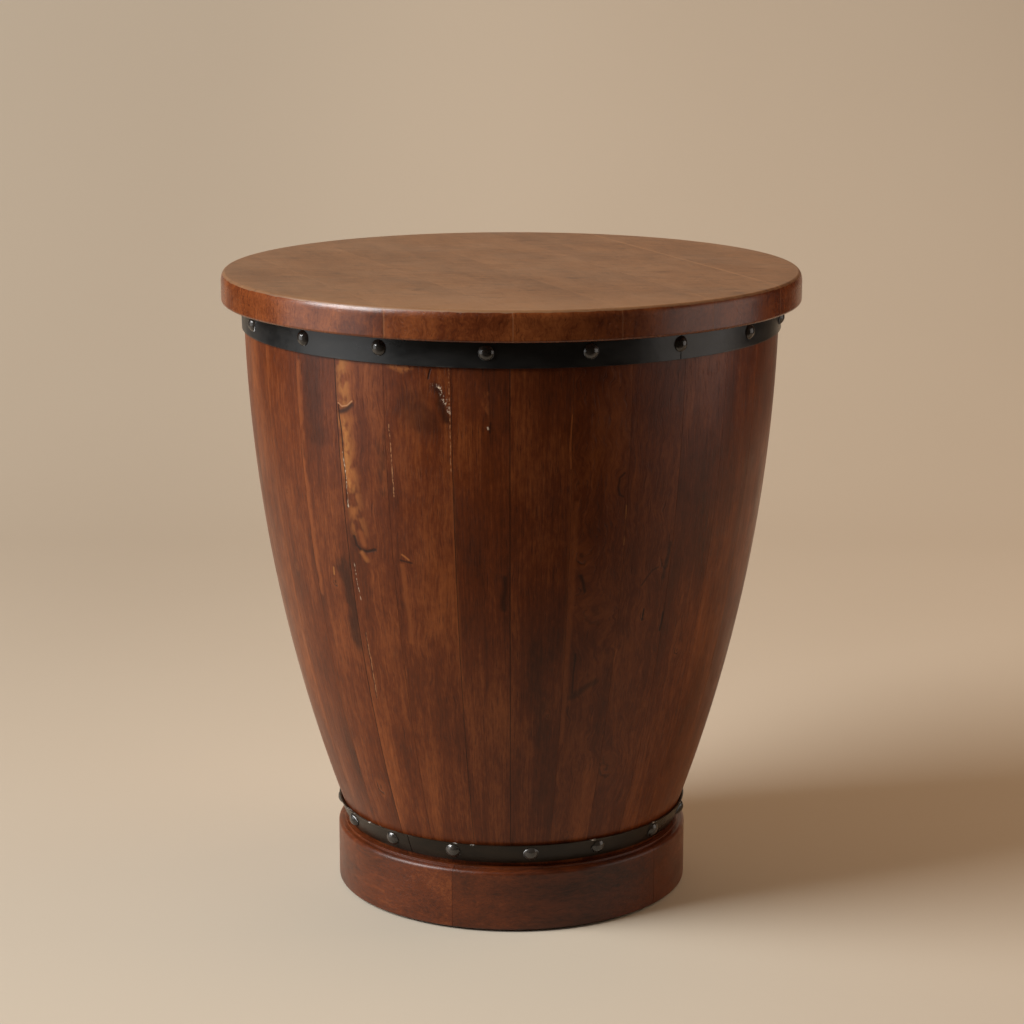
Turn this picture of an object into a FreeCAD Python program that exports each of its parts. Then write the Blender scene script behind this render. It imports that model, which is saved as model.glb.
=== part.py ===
import FreeCAD, Part
import math
import os
import Sketcher

# Barrel side table: a coopered body of staves bound by two nailed iron hoops. It stands in a
# rebated ring plinth on glides, and carries a round top of edge-glued planks.
# Millimetres, +Z up, origin on the floor under the middle of the table.
# The front faces -Y. Bearings are degrees from the front towards +X.

doc = FreeCAD.newDocument("barrel_side_table")

# Driving dimensions
SIZES = {
    # whole table
    "table_height": 558,
    "fit_gap": 0.2,
    "overrun": 5,
    # round top
    "top_radius": 254,
    "top_thickness": 26,
    "top_edge_round": 4,
    "top_under_round": 2.5,
    "plank_width": 86.5,
    "plank_shift": -11.6,
    "grain_turn": 23,
    # coopered body: its outside is one arc, widest at the bilge
    "bilge_radius": 234.8,
    "bilge_height": 548.5,
    "bow_radius": 1414.5,
    "stave_thickness": 22,
    # head boards, held in the croze of the staves
    "croze_lift": 38,
    "croze_width": 7,
    "croze_depth": 6,
    "head_thickness": 15,
    "head_tongue_margin": 3,
    "head_bevel": 8,
    "head_board_width": 92,
    # plinth ring
    "glide_height": 2,
    "plinth_height": 55,
    "plinth_lip": 5,
    "plinth_step_width": 2.5,
    "plinth_step_height": 1.8,
    "plinth_round": 3.5,
    "plinth_under_round": 1.5,
    "rebate_depth": 12,
    "ledge_margin": 3,
    # dowels across the joints of the plinth ring
    "dowel_radius": 5,
    "dowel_length": 40,
    "dowel_lift": 22,
    # hoops
    "hoop_thickness": 2,
    "hoop_slit": 0.4,
    "upper_hoop_width": 22.8,
    "upper_hoop_drop": 0.4,
    "lower_hoop_width": 17.6,
    "lower_hoop_lift": 3.9,
    "lower_hoop_flare": 0.7,
    # hoop nails
    "upper_nail_drop": 9.8,
    "lower_nail_lift": 9.6,
    "nail_head_radius": 6.8,
    "nail_head_height": 4.2,
    "nail_shank_radius": 1.5,
    "nail_shank_length": 17,
    "nail_point_length": 5,
    # ring under the top
    "top_ring_thickness": 20,
    "top_ring_width": 48,
    # screws
    "screw_head_radius": 4.5,
    "screw_head_height": 3,
    "screw_shank_radius": 2.2,
    "screw_point_length": 6,
    "top_screw_bite": 16,
    "plinth_screw_bite": 20,
    "plinth_screw_recess": 12,
    "plinth_screw_inset": 9.5,
    # glides
    "glide_radius": 11,
    "glide_pin_radius": 1.2,
    "glide_pin_length": 12,
}

# Bearings of the joints and nails that show at the front
FIRST_STAVE_JOINT = -0.3
FIRST_PLINTH_JOINT = -19
FIRST_UPPER_NAIL = -4.9
FIRST_LOWER_NAIL = 6.3
LOWER_HOOP_SLIT = -35.3
SLIT_NAIL = 2
FRONT = -90
QUARTER_TURN = 90
FULL_TURN = 360

# Staves are sawn to mixed widths and nails are set by hand: each share is one step round the body
STAVE_WIDTH_SHARES = (
    1.02, 1.0, 1.01, 1.0, 1.0, 1.03, 0.98, 0.97, 1.02, 1.01, 0.99, 1.0, 1.03, 0.97, 1.0,
    1.01, 0.99, 1.0, 1.02, 0.98, 1.0, 1.01, 1.0, 0.97, 1.0, 0.95, 0.94, 1.16, 0.94,
)
UPPER_NAIL_SHARES = (
    0.97, 0.94, 1.01, 0.99, 1.02, 1.0, 1.01, 1.02, 1.0, 1.01, 1.0, 1.02, 1.01, 1.02, 1.02, 0.92, 1.04,
)
LOWER_NAIL_SHARES = (
    0.95, 1.03, 1.04, 1.0, 0.99, 1.01, 1.0, 0.99, 1.01, 1.0, 0.99, 1.01, 0.95, 0.97, 1.06,
)
PLINTH_SEGMENT_SHARES = (1, 1, 1, 1, 1)
PLINTH_SCREW_PLACE_SHARES = (0.3, 0.7)

# Where a sketch's arc first passes, as shares of its chord, before its radius is set
WALL_BULGE_SHARE = 0.05
DOME_BULGE_SHARE = 0.2
SAME_HEIGHT = 1e-4

sheet = doc.addObject("Spreadsheet::Sheet", "dims")
for row, (alias, value) in enumerate(SIZES.items(), start=1):
    sheet.set(f"A{row}", alias)
    sheet.set(f"B{row}", str(value))
    sheet.setAlias(f"B{row}", alias)
doc.recompute()


def size(alias):
    return float(sheet.get(alias))


# Heights and radii that several pieces share, as expressions on the sheet
REACH = "(dims.top_radius + dims.bilge_radius)"
UNDERSIDE = "(dims.table_height - dims.top_thickness)"
PLINTH_TOP = "(dims.glide_height + dims.plinth_height)"
STAVE_FOOT = f"({PLINTH_TOP} - dims.rebate_depth)"
CROZE_HEIGHT = f"({STAVE_FOOT} + dims.croze_lift)"
UPPER_HOOP_TOP = f"({UNDERSIDE} - dims.upper_hoop_drop)"
UPPER_HOOP_FOOT = f"({UPPER_HOOP_TOP} - dims.upper_hoop_width)"
LOWER_HOOP_FOOT = f"({PLINTH_TOP} + dims.lower_hoop_lift)"
LOWER_HOOP_TOP = f"({LOWER_HOOP_FOOT} + dims.lower_hoop_width)"
TOP_RING_FOOT = f"({UNDERSIDE} - dims.top_ring_thickness)"


def body_radius(height, depth="0"):
    """Radius of the arched body at a height, at a depth under its outer face."""
    reach = f"(dims.bow_radius - {depth})"
    rise = f"(dims.bilge_height - {height})"
    return f"(dims.bilge_radius - dims.bow_radius + sqrt({reach}^2 - {rise}^2))"


def inner_radius(height):
    return body_radius(height, "dims.stave_thickness")


PLINTH_WALL = f"({body_radius(PLINTH_TOP)} + dims.fit_gap)"
PLINTH_LIP = f"({PLINTH_WALL} + dims.plinth_lip)"
PLINTH_STEP = f"({PLINTH_TOP} - dims.plinth_step_height)"
PLINTH_RADIUS = f"({PLINTH_LIP} + dims.plinth_step_width + dims.plinth_round)"
PLINTH_BORE = f"({inner_radius(STAVE_FOOT)} - dims.ledge_margin)"
PLINTH_MIDDLE = f"(({PLINTH_BORE} + {PLINTH_RADIUS}) / 2)"


def steps_round(first, shares):
    """Start bearing and width in degrees of each step round the body."""
    whole = sum(shares)
    steps = []
    start = first
    for share in shares:
        width = FULL_TURN * share / whole
        steps.append((start, width))
        start += width
    return steps


stave_steps = steps_round(FIRST_STAVE_JOINT, STAVE_WIDTH_SHARES)
plinth_steps = steps_round(FIRST_PLINTH_JOINT, PLINTH_SEGMENT_SHARES)
upper_nail_places = [start for start, width in steps_round(FIRST_UPPER_NAIL, UPPER_NAIL_SHARES)]
lower_nail_places = [start for start, width in steps_round(FIRST_LOWER_NAIL, LOWER_NAIL_SHARES)]


# Sketches and turned bodies

def new_sketch(body, name):
    """Sketch on the body's own XZ plane: across is the radius, up is the height."""
    plane = next(item for item in body.Origin.OriginFeatures if item.Role == "XZ_Plane")
    sketch = body.newObject("Sketcher::SketchObject", name)
    sketch.AttachmentSupport = (plane, [""])
    sketch.MapMode = "FlatFace"
    return sketch


def bind_constraint(sketch, constraint, expression):
    index = sketch.addConstraint(constraint)
    sketch.setExpression(f"Constraints[{index}]", expression)


def pin_point(sketch, line, end, across, up):
    """Hold one end of a line at two expressions, measured from the sketch origin."""
    for kind, axis, distance in (("DistanceX", -2, across), ("DistanceY", -1, up)):
        if distance == "0":
            sketch.addConstraint(Sketcher.Constraint("PointOnObject", line, end, axis))
        else:
            bind_constraint(sketch, Sketcher.Constraint(kind, -1, 1, line, end, 1), distance)


def add_arc(sketch, before, after, radius, bulge_share):
    """Arc from the end of one line to the start of the next. It bulges right if the share is over 0."""
    doc.recompute()
    start = sketch.Geometry[before].EndPoint
    finish = sketch.Geometry[after].StartPoint
    chord = finish - start
    right = FreeCAD.Vector(chord.y, -chord.x, 0)
    middle = (start + finish) * 0.5 + right * bulge_share
    ends = [(before, 2, start), (after, 1, finish)]
    if bulge_share < 0:
        ends.reverse()
    arc = sketch.addGeometry(Part.Arc(ends[0][2], middle, ends[1][2]))
    for arc_end, (line, line_end, place) in enumerate(ends, start=1):
        sketch.addConstraint(Sketcher.Constraint("Coincident", line, line_end, arc, arc_end))
    bind_constraint(sketch, Sketcher.Constraint("Radius", arc, chord.Length), radius)


def closed_outline(sketch, points, arcs=None):
    """Closed outline through points given as expressions. The steps named in arcs are arcs."""
    arcs = arcs or {}
    count = len(points)
    guesses = [FreeCAD.Vector(step + 1, (step + 1) ** 2, 0) for step in range(count)]
    lines = {}
    for step in range(count):
        if step not in arcs:
            segment = Part.LineSegment(guesses[step], guesses[(step + 1) % count])
            lines[step] = sketch.addGeometry(segment)
    for step, (across, up) in enumerate(points):
        before = (step - 1) % count
        if step not in lines:
            pin_point(sketch, lines[before], 2, across, up)
            continue
        pin_point(sketch, lines[step], 1, across, up)
        if before in lines:
            joint = Sketcher.Constraint("Coincident", lines[before], 2, lines[step], 1)
            sketch.addConstraint(joint)
    for step, (radius, bulge_share) in arcs.items():
        add_arc(sketch, lines[(step - 1) % count], lines[(step + 1) % count], radius, bulge_share)


def turn(body, feature, name, points, arcs=None, axis="V_Axis"):
    """Turn a closed outline onto a body, or out of it."""
    sketch = new_sketch(body, f"{name}_outline")
    closed_outline(sketch, points, arcs)
    turning = body.newObject(feature, name)
    turning.Profile = sketch
    turning.ReferenceAxis = (sketch, [axis])
    turning.Angle = FULL_TURN
    return turning


def turned_body(name, points, arcs=None, axis="V_Axis"):
    body = doc.addObject("PartDesign::Body", name)
    turn(body, "PartDesign::Revolution", f"{name}_turning", points, arcs, axis)
    return body


def round_rim(body, radius_alias, height):
    """Round the widest rim of a turned body at one height."""
    doc.recompute()
    base = body.Tip
    rims = []
    for index, edge in enumerate(base.Shape.Edges, start=1):
        curve = edge.Curve
        if not isinstance(curve, Part.Circle):
            continue
        if math.isclose(curve.Center.z, height, abs_tol=SAME_HEIGHT):
            rims.append((curve.Radius, f"Edge{index}"))
    fillet = body.newObject("PartDesign::Fillet", f"{body.Name}_{radius_alias}")
    fillet.Base = (base, [max(rims)[1]])
    fillet.setExpression("Radius", f"dims.{radius_alias}")


# Copies, groups, cuts and splits

def about_z(angle):
    return FreeCAD.Rotation(FreeCAD.Vector(0, 0, 1), angle)


def linked_copy(master, name):
    """Copy that moves with its master and is then placed by its own placement."""
    copy = doc.addObject("App::Link", name)
    copy.LinkedObject = master
    copy.LinkTransform = True
    return copy


def group_of(pieces, name):
    group = doc.addObject("Part::Compound", name)
    group.Links = pieces
    return group


def ring_of(master, places, name):
    """Copies of a master turned about the table's axis, one at each bearing."""
    copies = []
    for count, bearing in enumerate(places, start=1):
        copy = linked_copy(master, f"{name}_{count}")
        copy.Placement.Rotation = about_z(bearing + FRONT)
        copies.append(copy)
    return group_of(copies, name)


def combine(kind, base, tool, name):
    result = doc.addObject(kind, name)
    result.Base = base
    result.Tool = tool
    return result


def cut(base, tool, name):
    return combine("Part::Cut", base, tool, name)


def sector(name, bearing):
    """Wedge from the table's axis past every ring. Its caller sets the angle."""
    wedge = doc.addObject("Part::Cylinder", name)
    wedge.setExpression("Radius", REACH)
    wedge.setExpression("Height", "dims.table_height")
    wedge.Placement.Rotation = about_z(bearing + FRONT)
    return wedge


def split_round(ring, steps, names):
    """Split a ring along radial joints, one piece for each step."""
    pieces = []
    for (start, width), name in zip(steps, names):
        wedge = sector(f"{name}_wedge", start)
        wedge.Angle = width
        pieces.append(combine("Part::Common", ring, wedge, name))
    return pieces


def split_across(disc, joints, name):
    """Split a disc into boards along straight joints, then turn them to the table's grain."""
    edges = [f"-{REACH}"] + joints + [REACH]
    boards = []
    for count, (left, right) in enumerate(zip(edges, edges[1:]), start=1):
        slab = doc.addObject("Part::Box", f"{name}_{count}_slab")
        slab.setExpression("Length", f"{right} - {left}")
        slab.setExpression("Width", f"2 * {REACH}")
        slab.setExpression("Height", "dims.table_height + dims.overrun")
        slab.setExpression("Placement.Base.x", left)
        slab.setExpression("Placement.Base.y", f"-{REACH}")
        board = combine("Part::Common", disc, slab, f"{name}_{count}")
        board.setExpression("Placement.Rotation.Angle", "dims.grain_turn")
        boards.append(board)
    return boards


# Masters of the fasteners

def wood_screw(name, length):
    """Countersunk screw that points up, with its head face at height 0."""
    return turned_body(name, [
        ("0", "0"),
        ("dims.screw_head_radius", "0"),
        ("dims.screw_shank_radius", "dims.screw_head_height"),
        ("dims.screw_shank_radius", f"{length} - dims.screw_point_length"),
        ("0", length),
    ])


def screw_bore(name, length, recess):
    """Space for a wood screw, open below its head by a recess."""
    head = "(dims.screw_head_radius + dims.fit_gap)"
    shank = "(dims.screw_shank_radius + dims.fit_gap)"
    return turned_body(name, [
        ("0", f"-{recess}"),
        (head, f"-{recess}"),
        (head, "0"),
        (shank, "dims.screw_head_height"),
        (shank, f"{length} - dims.screw_point_length"),
        ("0", f"{length} + dims.fit_gap"),
    ])


def hoop_nail(name):
    """Domed nail along X. Its head seats at 0 and its point lies inward."""
    rise = "dims.nail_head_height"
    dome = f"((dims.nail_head_radius^2 + {rise}^2) / (2 * {rise}))"
    outline = [
        ("-dims.nail_shank_length", "0"),
        (rise, "0"),
        ("0", "dims.nail_head_radius"),
        ("0", "dims.nail_shank_radius"),
        ("dims.nail_point_length - dims.nail_shank_length", "dims.nail_shank_radius"),
    ]
    return turned_body(name, outline, {1: (dome, DOME_BULGE_SHARE)}, "H_Axis")


def nail_bore(name):
    """Space for a nail's shank, open past the outer face of its hoop."""
    radius = "dims.nail_shank_radius + dims.fit_gap"
    depth = "-(dims.nail_shank_length + dims.fit_gap)"
    outline = [(depth, "0"), ("dims.overrun", "0"), ("dims.overrun", radius), (depth, radius)]
    return turned_body(name, outline, axis="H_Axis")


# Hoops and their nails

def hoop_with_nails(side, foot, top, flare, nail_height, nail_places, slit_bearing):
    """Iron hoop with a slit where its ends meet, its nails, and the bores that they need."""
    foot_radius = f"({body_radius(foot)} + dims.fit_gap)"
    top_radius = f"({body_radius(top)} + dims.fit_gap + {flare})"
    slope = f"(({top_radius} - {foot_radius}) / ({top} - {foot}))"
    seat_radius = f"({foot_radius} + dims.hoop_thickness + {slope} * ({nail_height} - {foot}))"

    masters = [hoop_nail(f"{side}_nail"), nail_bore(f"{side}_nail_bore")]
    for master in masters:
        master.Placement.Rotation = FreeCAD.Rotation(FreeCAD.Vector(0, 1, 0), QUARTER_TURN)
        master.setExpression("Placement.Rotation.Angle", f"atan({slope})")
        master.setExpression("Placement.Base.x", seat_radius)
        master.setExpression("Placement.Base.z", nail_height)
    nails = ring_of(masters[0], nail_places, f"{side}_nails")
    bores = ring_of(masters[1], nail_places, f"{side}_nail_bores")

    band = turned_body(f"{side}_hoop_band", [
        (foot_radius, foot),
        (f"{foot_radius} + dims.hoop_thickness", foot),
        (f"{top_radius} + dims.hoop_thickness", top),
        (top_radius, top),
    ])
    slit = sector(f"{side}_hoop_slit", slit_bearing)
    slit.setExpression("Angle", f"2 * asin(dims.hoop_slit / (2 * {foot_radius}))")
    hoop = cut(cut(band, bores, f"{side}_hoop_drilled"), slit, f"{side}_hoop")
    return hoop, nails, bores


upper_hoop, upper_nails, upper_nail_bores = hoop_with_nails(
    "upper", UPPER_HOOP_FOOT, UPPER_HOOP_TOP, "0", f"({UPPER_HOOP_TOP} - dims.upper_nail_drop)",
    upper_nail_places, upper_nail_places[SLIT_NAIL],
)
lower_hoop, lower_nails, lower_nail_bores = hoop_with_nails(
    "lower", LOWER_HOOP_FOOT, LOWER_HOOP_TOP, "dims.lower_hoop_flare",
    f"({LOWER_HOOP_FOOT} + dims.lower_nail_lift)", lower_nail_places, LOWER_HOOP_SLIT,
)


# Screws up through the plinth ledge into the middle of the nearest stave's foot

def turn_between(bearing, other):
    """Smaller angle between two bearings."""
    apart = abs(bearing - other) % FULL_TURN
    return min(apart, FULL_TURN - apart)


stave_middles = [start + width / 2 for start, width in stave_steps]
plinth_screw_places = []
for start, width in plinth_steps:
    for share in PLINTH_SCREW_PLACE_SHARES:
        wish = start + share * width
        nearest = min(stave_middles, key=lambda middle: turn_between(middle, wish))
        plinth_screw_places.append(nearest)

plinth_screw_length = (
    "(dims.plinth_height - dims.rebate_depth - dims.plinth_screw_recess + dims.plinth_screw_bite)"
)
plinth_screw = wood_screw("plinth_screw", plinth_screw_length)
plinth_screw_bore = screw_bore(
    "plinth_screw_bore", plinth_screw_length, "(dims.plinth_screw_recess + dims.overrun)"
)
for master in (plinth_screw, plinth_screw_bore):
    master.setExpression("Placement.Base.x", f"{body_radius(STAVE_FOOT)} - dims.plinth_screw_inset")
    master.setExpression("Placement.Base.z", "dims.glide_height + dims.plinth_screw_recess")
plinth_screws = ring_of(plinth_screw, plinth_screw_places, "plinth_screws")
plinth_screw_bores = ring_of(plinth_screw_bore, plinth_screw_places, "plinth_screw_bores")


# Coopered body: a turned shell with the croze, split into staves that are then drilled

shell = turned_body(
    "shell",
    [
        (inner_radius(STAVE_FOOT), STAVE_FOOT),
        (body_radius(STAVE_FOOT), STAVE_FOOT),
        (body_radius(UNDERSIDE), UNDERSIDE),
        (inner_radius(UNDERSIDE), UNDERSIDE),
    ],
    {
        1: ("dims.bow_radius", WALL_BULGE_SHARE),
        3: ("dims.bow_radius - dims.stave_thickness", -WALL_BULGE_SHARE),
    },
)
doc.recompute()
solid_shell_volume = shell.Shape.Volume
croze_inside = f"{inner_radius(CROZE_HEIGHT)} - dims.overrun"
croze_outside = f"{inner_radius(CROZE_HEIGHT)} + dims.croze_depth"
croze_foot = f"{CROZE_HEIGHT} - dims.croze_width / 2"
croze_top = f"{CROZE_HEIGHT} + dims.croze_width / 2"
turn(shell, "PartDesign::Groove", "croze", [
    (croze_inside, croze_foot),
    (croze_outside, croze_foot),
    (croze_outside, croze_top),
    (croze_inside, croze_top),
])
shell.Placement.Rotation = about_z(FIRST_STAVE_JOINT + FRONT)
stave_bores = group_of([upper_nail_bores, lower_nail_bores, plinth_screw_bores], "stave_bores")
stave_names = [f"stave_{count:02d}" for count in range(1, len(stave_steps) + 1)]
stave_blanks = split_round(shell, stave_steps, [f"{name}_blank" for name in stave_names])
staves = [cut(blank, stave_bores, name) for blank, name in zip(stave_blanks, stave_names)]


# Bottom head: boards with a tongue that sits in the croze

head_radius = f"({croze_outside} - dims.fit_gap)"
tongue_radius = f"({head_radius} - dims.croze_depth - dims.head_tongue_margin)"
face_radius = f"({tongue_radius} - dims.head_bevel)"
half_tongue = "(dims.croze_width / 2 - dims.fit_gap)"
head_disc = turned_body("head_disc", [
    ("0", f"{CROZE_HEIGHT} - dims.head_thickness / 2"),
    (face_radius, f"{CROZE_HEIGHT} - dims.head_thickness / 2"),
    (tongue_radius, f"{CROZE_HEIGHT} - {half_tongue}"),
    (head_radius, f"{CROZE_HEIGHT} - {half_tongue}"),
    (head_radius, f"{CROZE_HEIGHT} + {half_tongue}"),
    (tongue_radius, f"{CROZE_HEIGHT} + {half_tongue}"),
    (face_radius, f"{CROZE_HEIGHT} + dims.head_thickness / 2"),
    ("0", f"{CROZE_HEIGHT} + dims.head_thickness / 2"),
])
head_joints = ["(-0.5 * dims.head_board_width)", "(0.5 * dims.head_board_width)"]
head_boards = split_across(head_disc, head_joints, "head_board")


# Plinth: a rebated ring with a stepped and rounded shoulder, drilled and split into dowelled segments

plinth_ring = turned_body("plinth_ring", [
    (PLINTH_BORE, "dims.glide_height"),
    (PLINTH_RADIUS, "dims.glide_height"),
    (PLINTH_RADIUS, PLINTH_STEP),
    (PLINTH_LIP, PLINTH_STEP),
    (PLINTH_LIP, PLINTH_TOP),
    (PLINTH_WALL, PLINTH_TOP),
    (PLINTH_WALL, STAVE_FOOT),
    (PLINTH_BORE, STAVE_FOOT),
])
plinth_step = size("glide_height") + size("plinth_height") - size("plinth_step_height")
round_rim(plinth_ring, "plinth_round", plinth_step)
round_rim(plinth_ring, "plinth_under_round", size("glide_height"))
plinth_ring.Placement.Rotation = about_z(FIRST_PLINTH_JOINT + FRONT)


def dowel_form(name, gap):
    """Rod across a joint of the plinth ring, square to the joint's face."""
    rod = doc.addObject("Part::Cylinder", name)
    rod.setExpression("Radius", f"dims.dowel_radius + {gap}")
    rod.setExpression("Height", f"dims.dowel_length + 2 * {gap}")
    rod.Placement.Rotation = FreeCAD.Rotation(FreeCAD.Vector(1, 0, 0), QUARTER_TURN)
    rod.setExpression("Placement.Base.x", PLINTH_MIDDLE)
    rod.setExpression("Placement.Base.y", f"dims.dowel_length / 2 + {gap}")
    rod.setExpression("Placement.Base.z", "dims.glide_height + dims.dowel_lift")
    return rod


plinth_joint_places = [start for start, width in plinth_steps]
plinth_dowels = ring_of(dowel_form("plinth_dowel", "0"), plinth_joint_places, "plinth_dowels")
dowel_bores = ring_of(
    dowel_form("plinth_dowel_bore", "dims.fit_gap"), plinth_joint_places, "plinth_dowel_bores"
)


# Glides: a disc with a pin that is driven up into the middle of each plinth segment

glide = turned_body("glide", [
    ("0", "0"),
    ("dims.glide_radius", "0"),
    ("dims.glide_radius", "dims.glide_height"),
    ("dims.glide_pin_radius", "dims.glide_height"),
    ("dims.glide_pin_radius", "dims.glide_height + dims.glide_pin_length"),
    ("0", "dims.glide_height + dims.glide_pin_length"),
])
glide_bore = doc.addObject("Part::Cylinder", "glide_bore")
glide_bore.setExpression("Radius", "dims.glide_pin_radius + dims.fit_gap")
glide_bore.setExpression("Height", "dims.glide_height + dims.glide_pin_length + dims.fit_gap")
for master in (glide, glide_bore):
    master.setExpression("Placement.Base.x", PLINTH_MIDDLE)
glide_places = [start + width / 2 for start, width in plinth_steps]
floor_glides = ring_of(glide, glide_places, "floor_glides")
glide_bores = ring_of(glide_bore, glide_places, "glide_bores")

plinth_bores = group_of([plinth_screw_bores, dowel_bores, glide_bores], "plinth_bores")
drilled_plinth = cut(plinth_ring, plinth_bores, "drilled_plinth")
segment_names = [f"plinth_segment_{count}" for count in range(1, len(plinth_steps) + 1)]
plinth_segments = split_round(drilled_plinth, plinth_steps, segment_names)


# Round top, and the ring that is glued inside the body and screwed up into every plank it reaches

top_disc = turned_body("top_disc", [
    ("0", UNDERSIDE),
    ("dims.top_radius", UNDERSIDE),
    ("dims.top_radius", "dims.table_height"),
    ("0", "dims.table_height"),
])
round_rim(top_disc, "top_edge_round", size("table_height"))
round_rim(top_disc, "top_under_round", size("table_height") - size("top_thickness"))

ring_outer_foot = f"({inner_radius(TOP_RING_FOOT)} - dims.fit_gap)"
ring_outer_top = f"({inner_radius(UNDERSIDE)} - dims.fit_gap)"
ring_inside = f"({ring_outer_top} - dims.top_ring_width)"
ring_blank = turned_body("top_ring_blank", [
    (ring_inside, TOP_RING_FOOT),
    (ring_outer_foot, TOP_RING_FOOT),
    (ring_outer_top, UNDERSIDE),
    (ring_inside, UNDERSIDE),
])
doc.recompute()

plank_width = size("plank_width")
plank_shift = size("plank_shift")
plank_count = round(2 * size("top_radius") / plank_width)
joint_steps = [joint - plank_count / 2 for joint in range(1, plank_count)]
plank_joints = [f"(dims.plank_shift + {step} * dims.plank_width)" for step in joint_steps]


def top_screw_places():
    """Two places on the ring for each plank that crosses it, and one for each plank at its edge."""
    ring_reach = ring_blank.Shape.BoundBox.XMax
    screw_circle = ring_reach - size("top_ring_width") / 2
    edge_room = 2 * size("screw_head_radius")
    joints = [plank_shift + step * plank_width for step in joint_steps]
    places = []
    for left, right in zip([-ring_reach] + joints, joints + [ring_reach]):
        middle = (max(left, -ring_reach) + min(right, ring_reach)) / 2
        if right - left < 2 * edge_room:
            continue
        if abs(middle) > screw_circle - edge_room:
            places.append((middle, 0))
            continue
        aside = math.sqrt(screw_circle ** 2 - middle ** 2)
        places.extend([(middle, -aside), (middle, aside)])
    return places


def top_screw_group(master, name):
    """Copies of a master at the top's screw places, turned to the table's grain."""
    copies = []
    for count, (across, along) in enumerate(top_screw_places(), start=1):
        copy = linked_copy(master, f"{name}_{count}")
        copy.Placement.Base = FreeCAD.Vector(across, along, 0)
        copies.append(copy)
    return group_of(copies, name)


top_screw_length = "(dims.top_ring_thickness + dims.top_screw_bite)"
top_screw = wood_screw("top_screw", top_screw_length)
top_screw_bore = screw_bore("top_screw_bore", top_screw_length, "dims.overrun")
for master in (top_screw, top_screw_bore):
    master.setExpression("Placement.Base.z", TOP_RING_FOOT)
top_screws = top_screw_group(top_screw, "top_screws")
top_screw_bores = top_screw_group(top_screw_bore, "top_screw_bores")
top_ring = cut(ring_blank, top_screw_bores, "top_ring")
for piece in (top_screws, top_ring):
    piece.setExpression("Placement.Rotation.Angle", "dims.grain_turn")
drilled_top = cut(top_disc, top_screw_bores, "drilled_top")
top_planks = split_across(drilled_top, plank_joints, "top_plank")


# Check every object, then write one file for each piece or group of like pieces

doc.recompute()
pieces = staves + top_planks + plinth_segments + head_boards + [
    top_ring, upper_hoop, lower_hoop, upper_nails, lower_nails,
    top_screws, plinth_screws, plinth_dowels, floor_glides,
]
solid_counts = {
    "upper_nails": len(upper_nail_places),
    "lower_nails": len(lower_nail_places),
    "top_screws": len(top_screws.Links),
    "plinth_screws": len(plinth_screw_places),
    "plinth_dowels": len(plinth_steps),
    "floor_glides": len(plinth_steps),
}
for item in doc.Objects:
    if "Invalid" in item.State or "Error" in item.State:
        raise RuntimeError(f"{item.Name} failed: {item.State}")
if not shell.Shape.Volume < solid_shell_volume:
    raise RuntimeError("the croze cut nothing")
for whole, parts in ((shell, staves), (plinth_ring, plinth_segments), (top_disc, top_planks)):
    if not sum(part.Shape.Volume for part in parts) < whole.Shape.Volume:
        raise RuntimeError(f"the pieces of {whole.Name} have no bores")
for piece in pieces:
    piece.Label = piece.Name
    shape = piece.Shape
    if shape.isNull() or not shape.isValid():
        raise RuntimeError(f"{piece.Name} has no valid shape")
    if len(shape.Solids) != solid_counts.get(piece.Name, 1):
        raise RuntimeError(f"{piece.Name} has {len(shape.Solids)} solids")

os.makedirs("parts", exist_ok=True)
for piece in pieces:
    piece.Shape.exportStep(f"parts/{piece.Label}.step")
print(len(pieces), "pieces written")
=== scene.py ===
import math

import bpy
from mathutils import Matrix, Vector


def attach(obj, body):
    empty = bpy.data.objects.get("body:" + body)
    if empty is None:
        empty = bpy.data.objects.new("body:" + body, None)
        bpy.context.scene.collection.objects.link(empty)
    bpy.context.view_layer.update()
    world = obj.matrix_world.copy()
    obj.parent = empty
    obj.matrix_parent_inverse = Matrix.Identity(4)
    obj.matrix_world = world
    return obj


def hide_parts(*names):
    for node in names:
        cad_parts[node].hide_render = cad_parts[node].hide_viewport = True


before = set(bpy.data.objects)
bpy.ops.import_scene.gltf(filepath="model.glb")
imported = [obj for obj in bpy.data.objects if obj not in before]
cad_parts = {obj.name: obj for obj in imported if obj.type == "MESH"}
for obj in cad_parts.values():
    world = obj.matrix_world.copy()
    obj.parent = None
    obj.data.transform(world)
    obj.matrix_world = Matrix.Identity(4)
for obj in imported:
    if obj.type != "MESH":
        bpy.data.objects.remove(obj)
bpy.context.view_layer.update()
bpy.context.scene.view_settings.view_transform = "Standard"
bpy.ops.object.select_all(action="DESELECT")


# Staves
# The body is raised from 29 staves of acacia, sawn to mixed widths, jointed edge to edge and
# turned to one arc outside. Each has a croze cut near its foot for the bottom head. The wood is
# stained red-brown and sealed with a satin varnish, worn pale along some of the joints.

# Sizes are in metres, and bearings in degrees round the table from its front to the right
FRONT = -90
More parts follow.
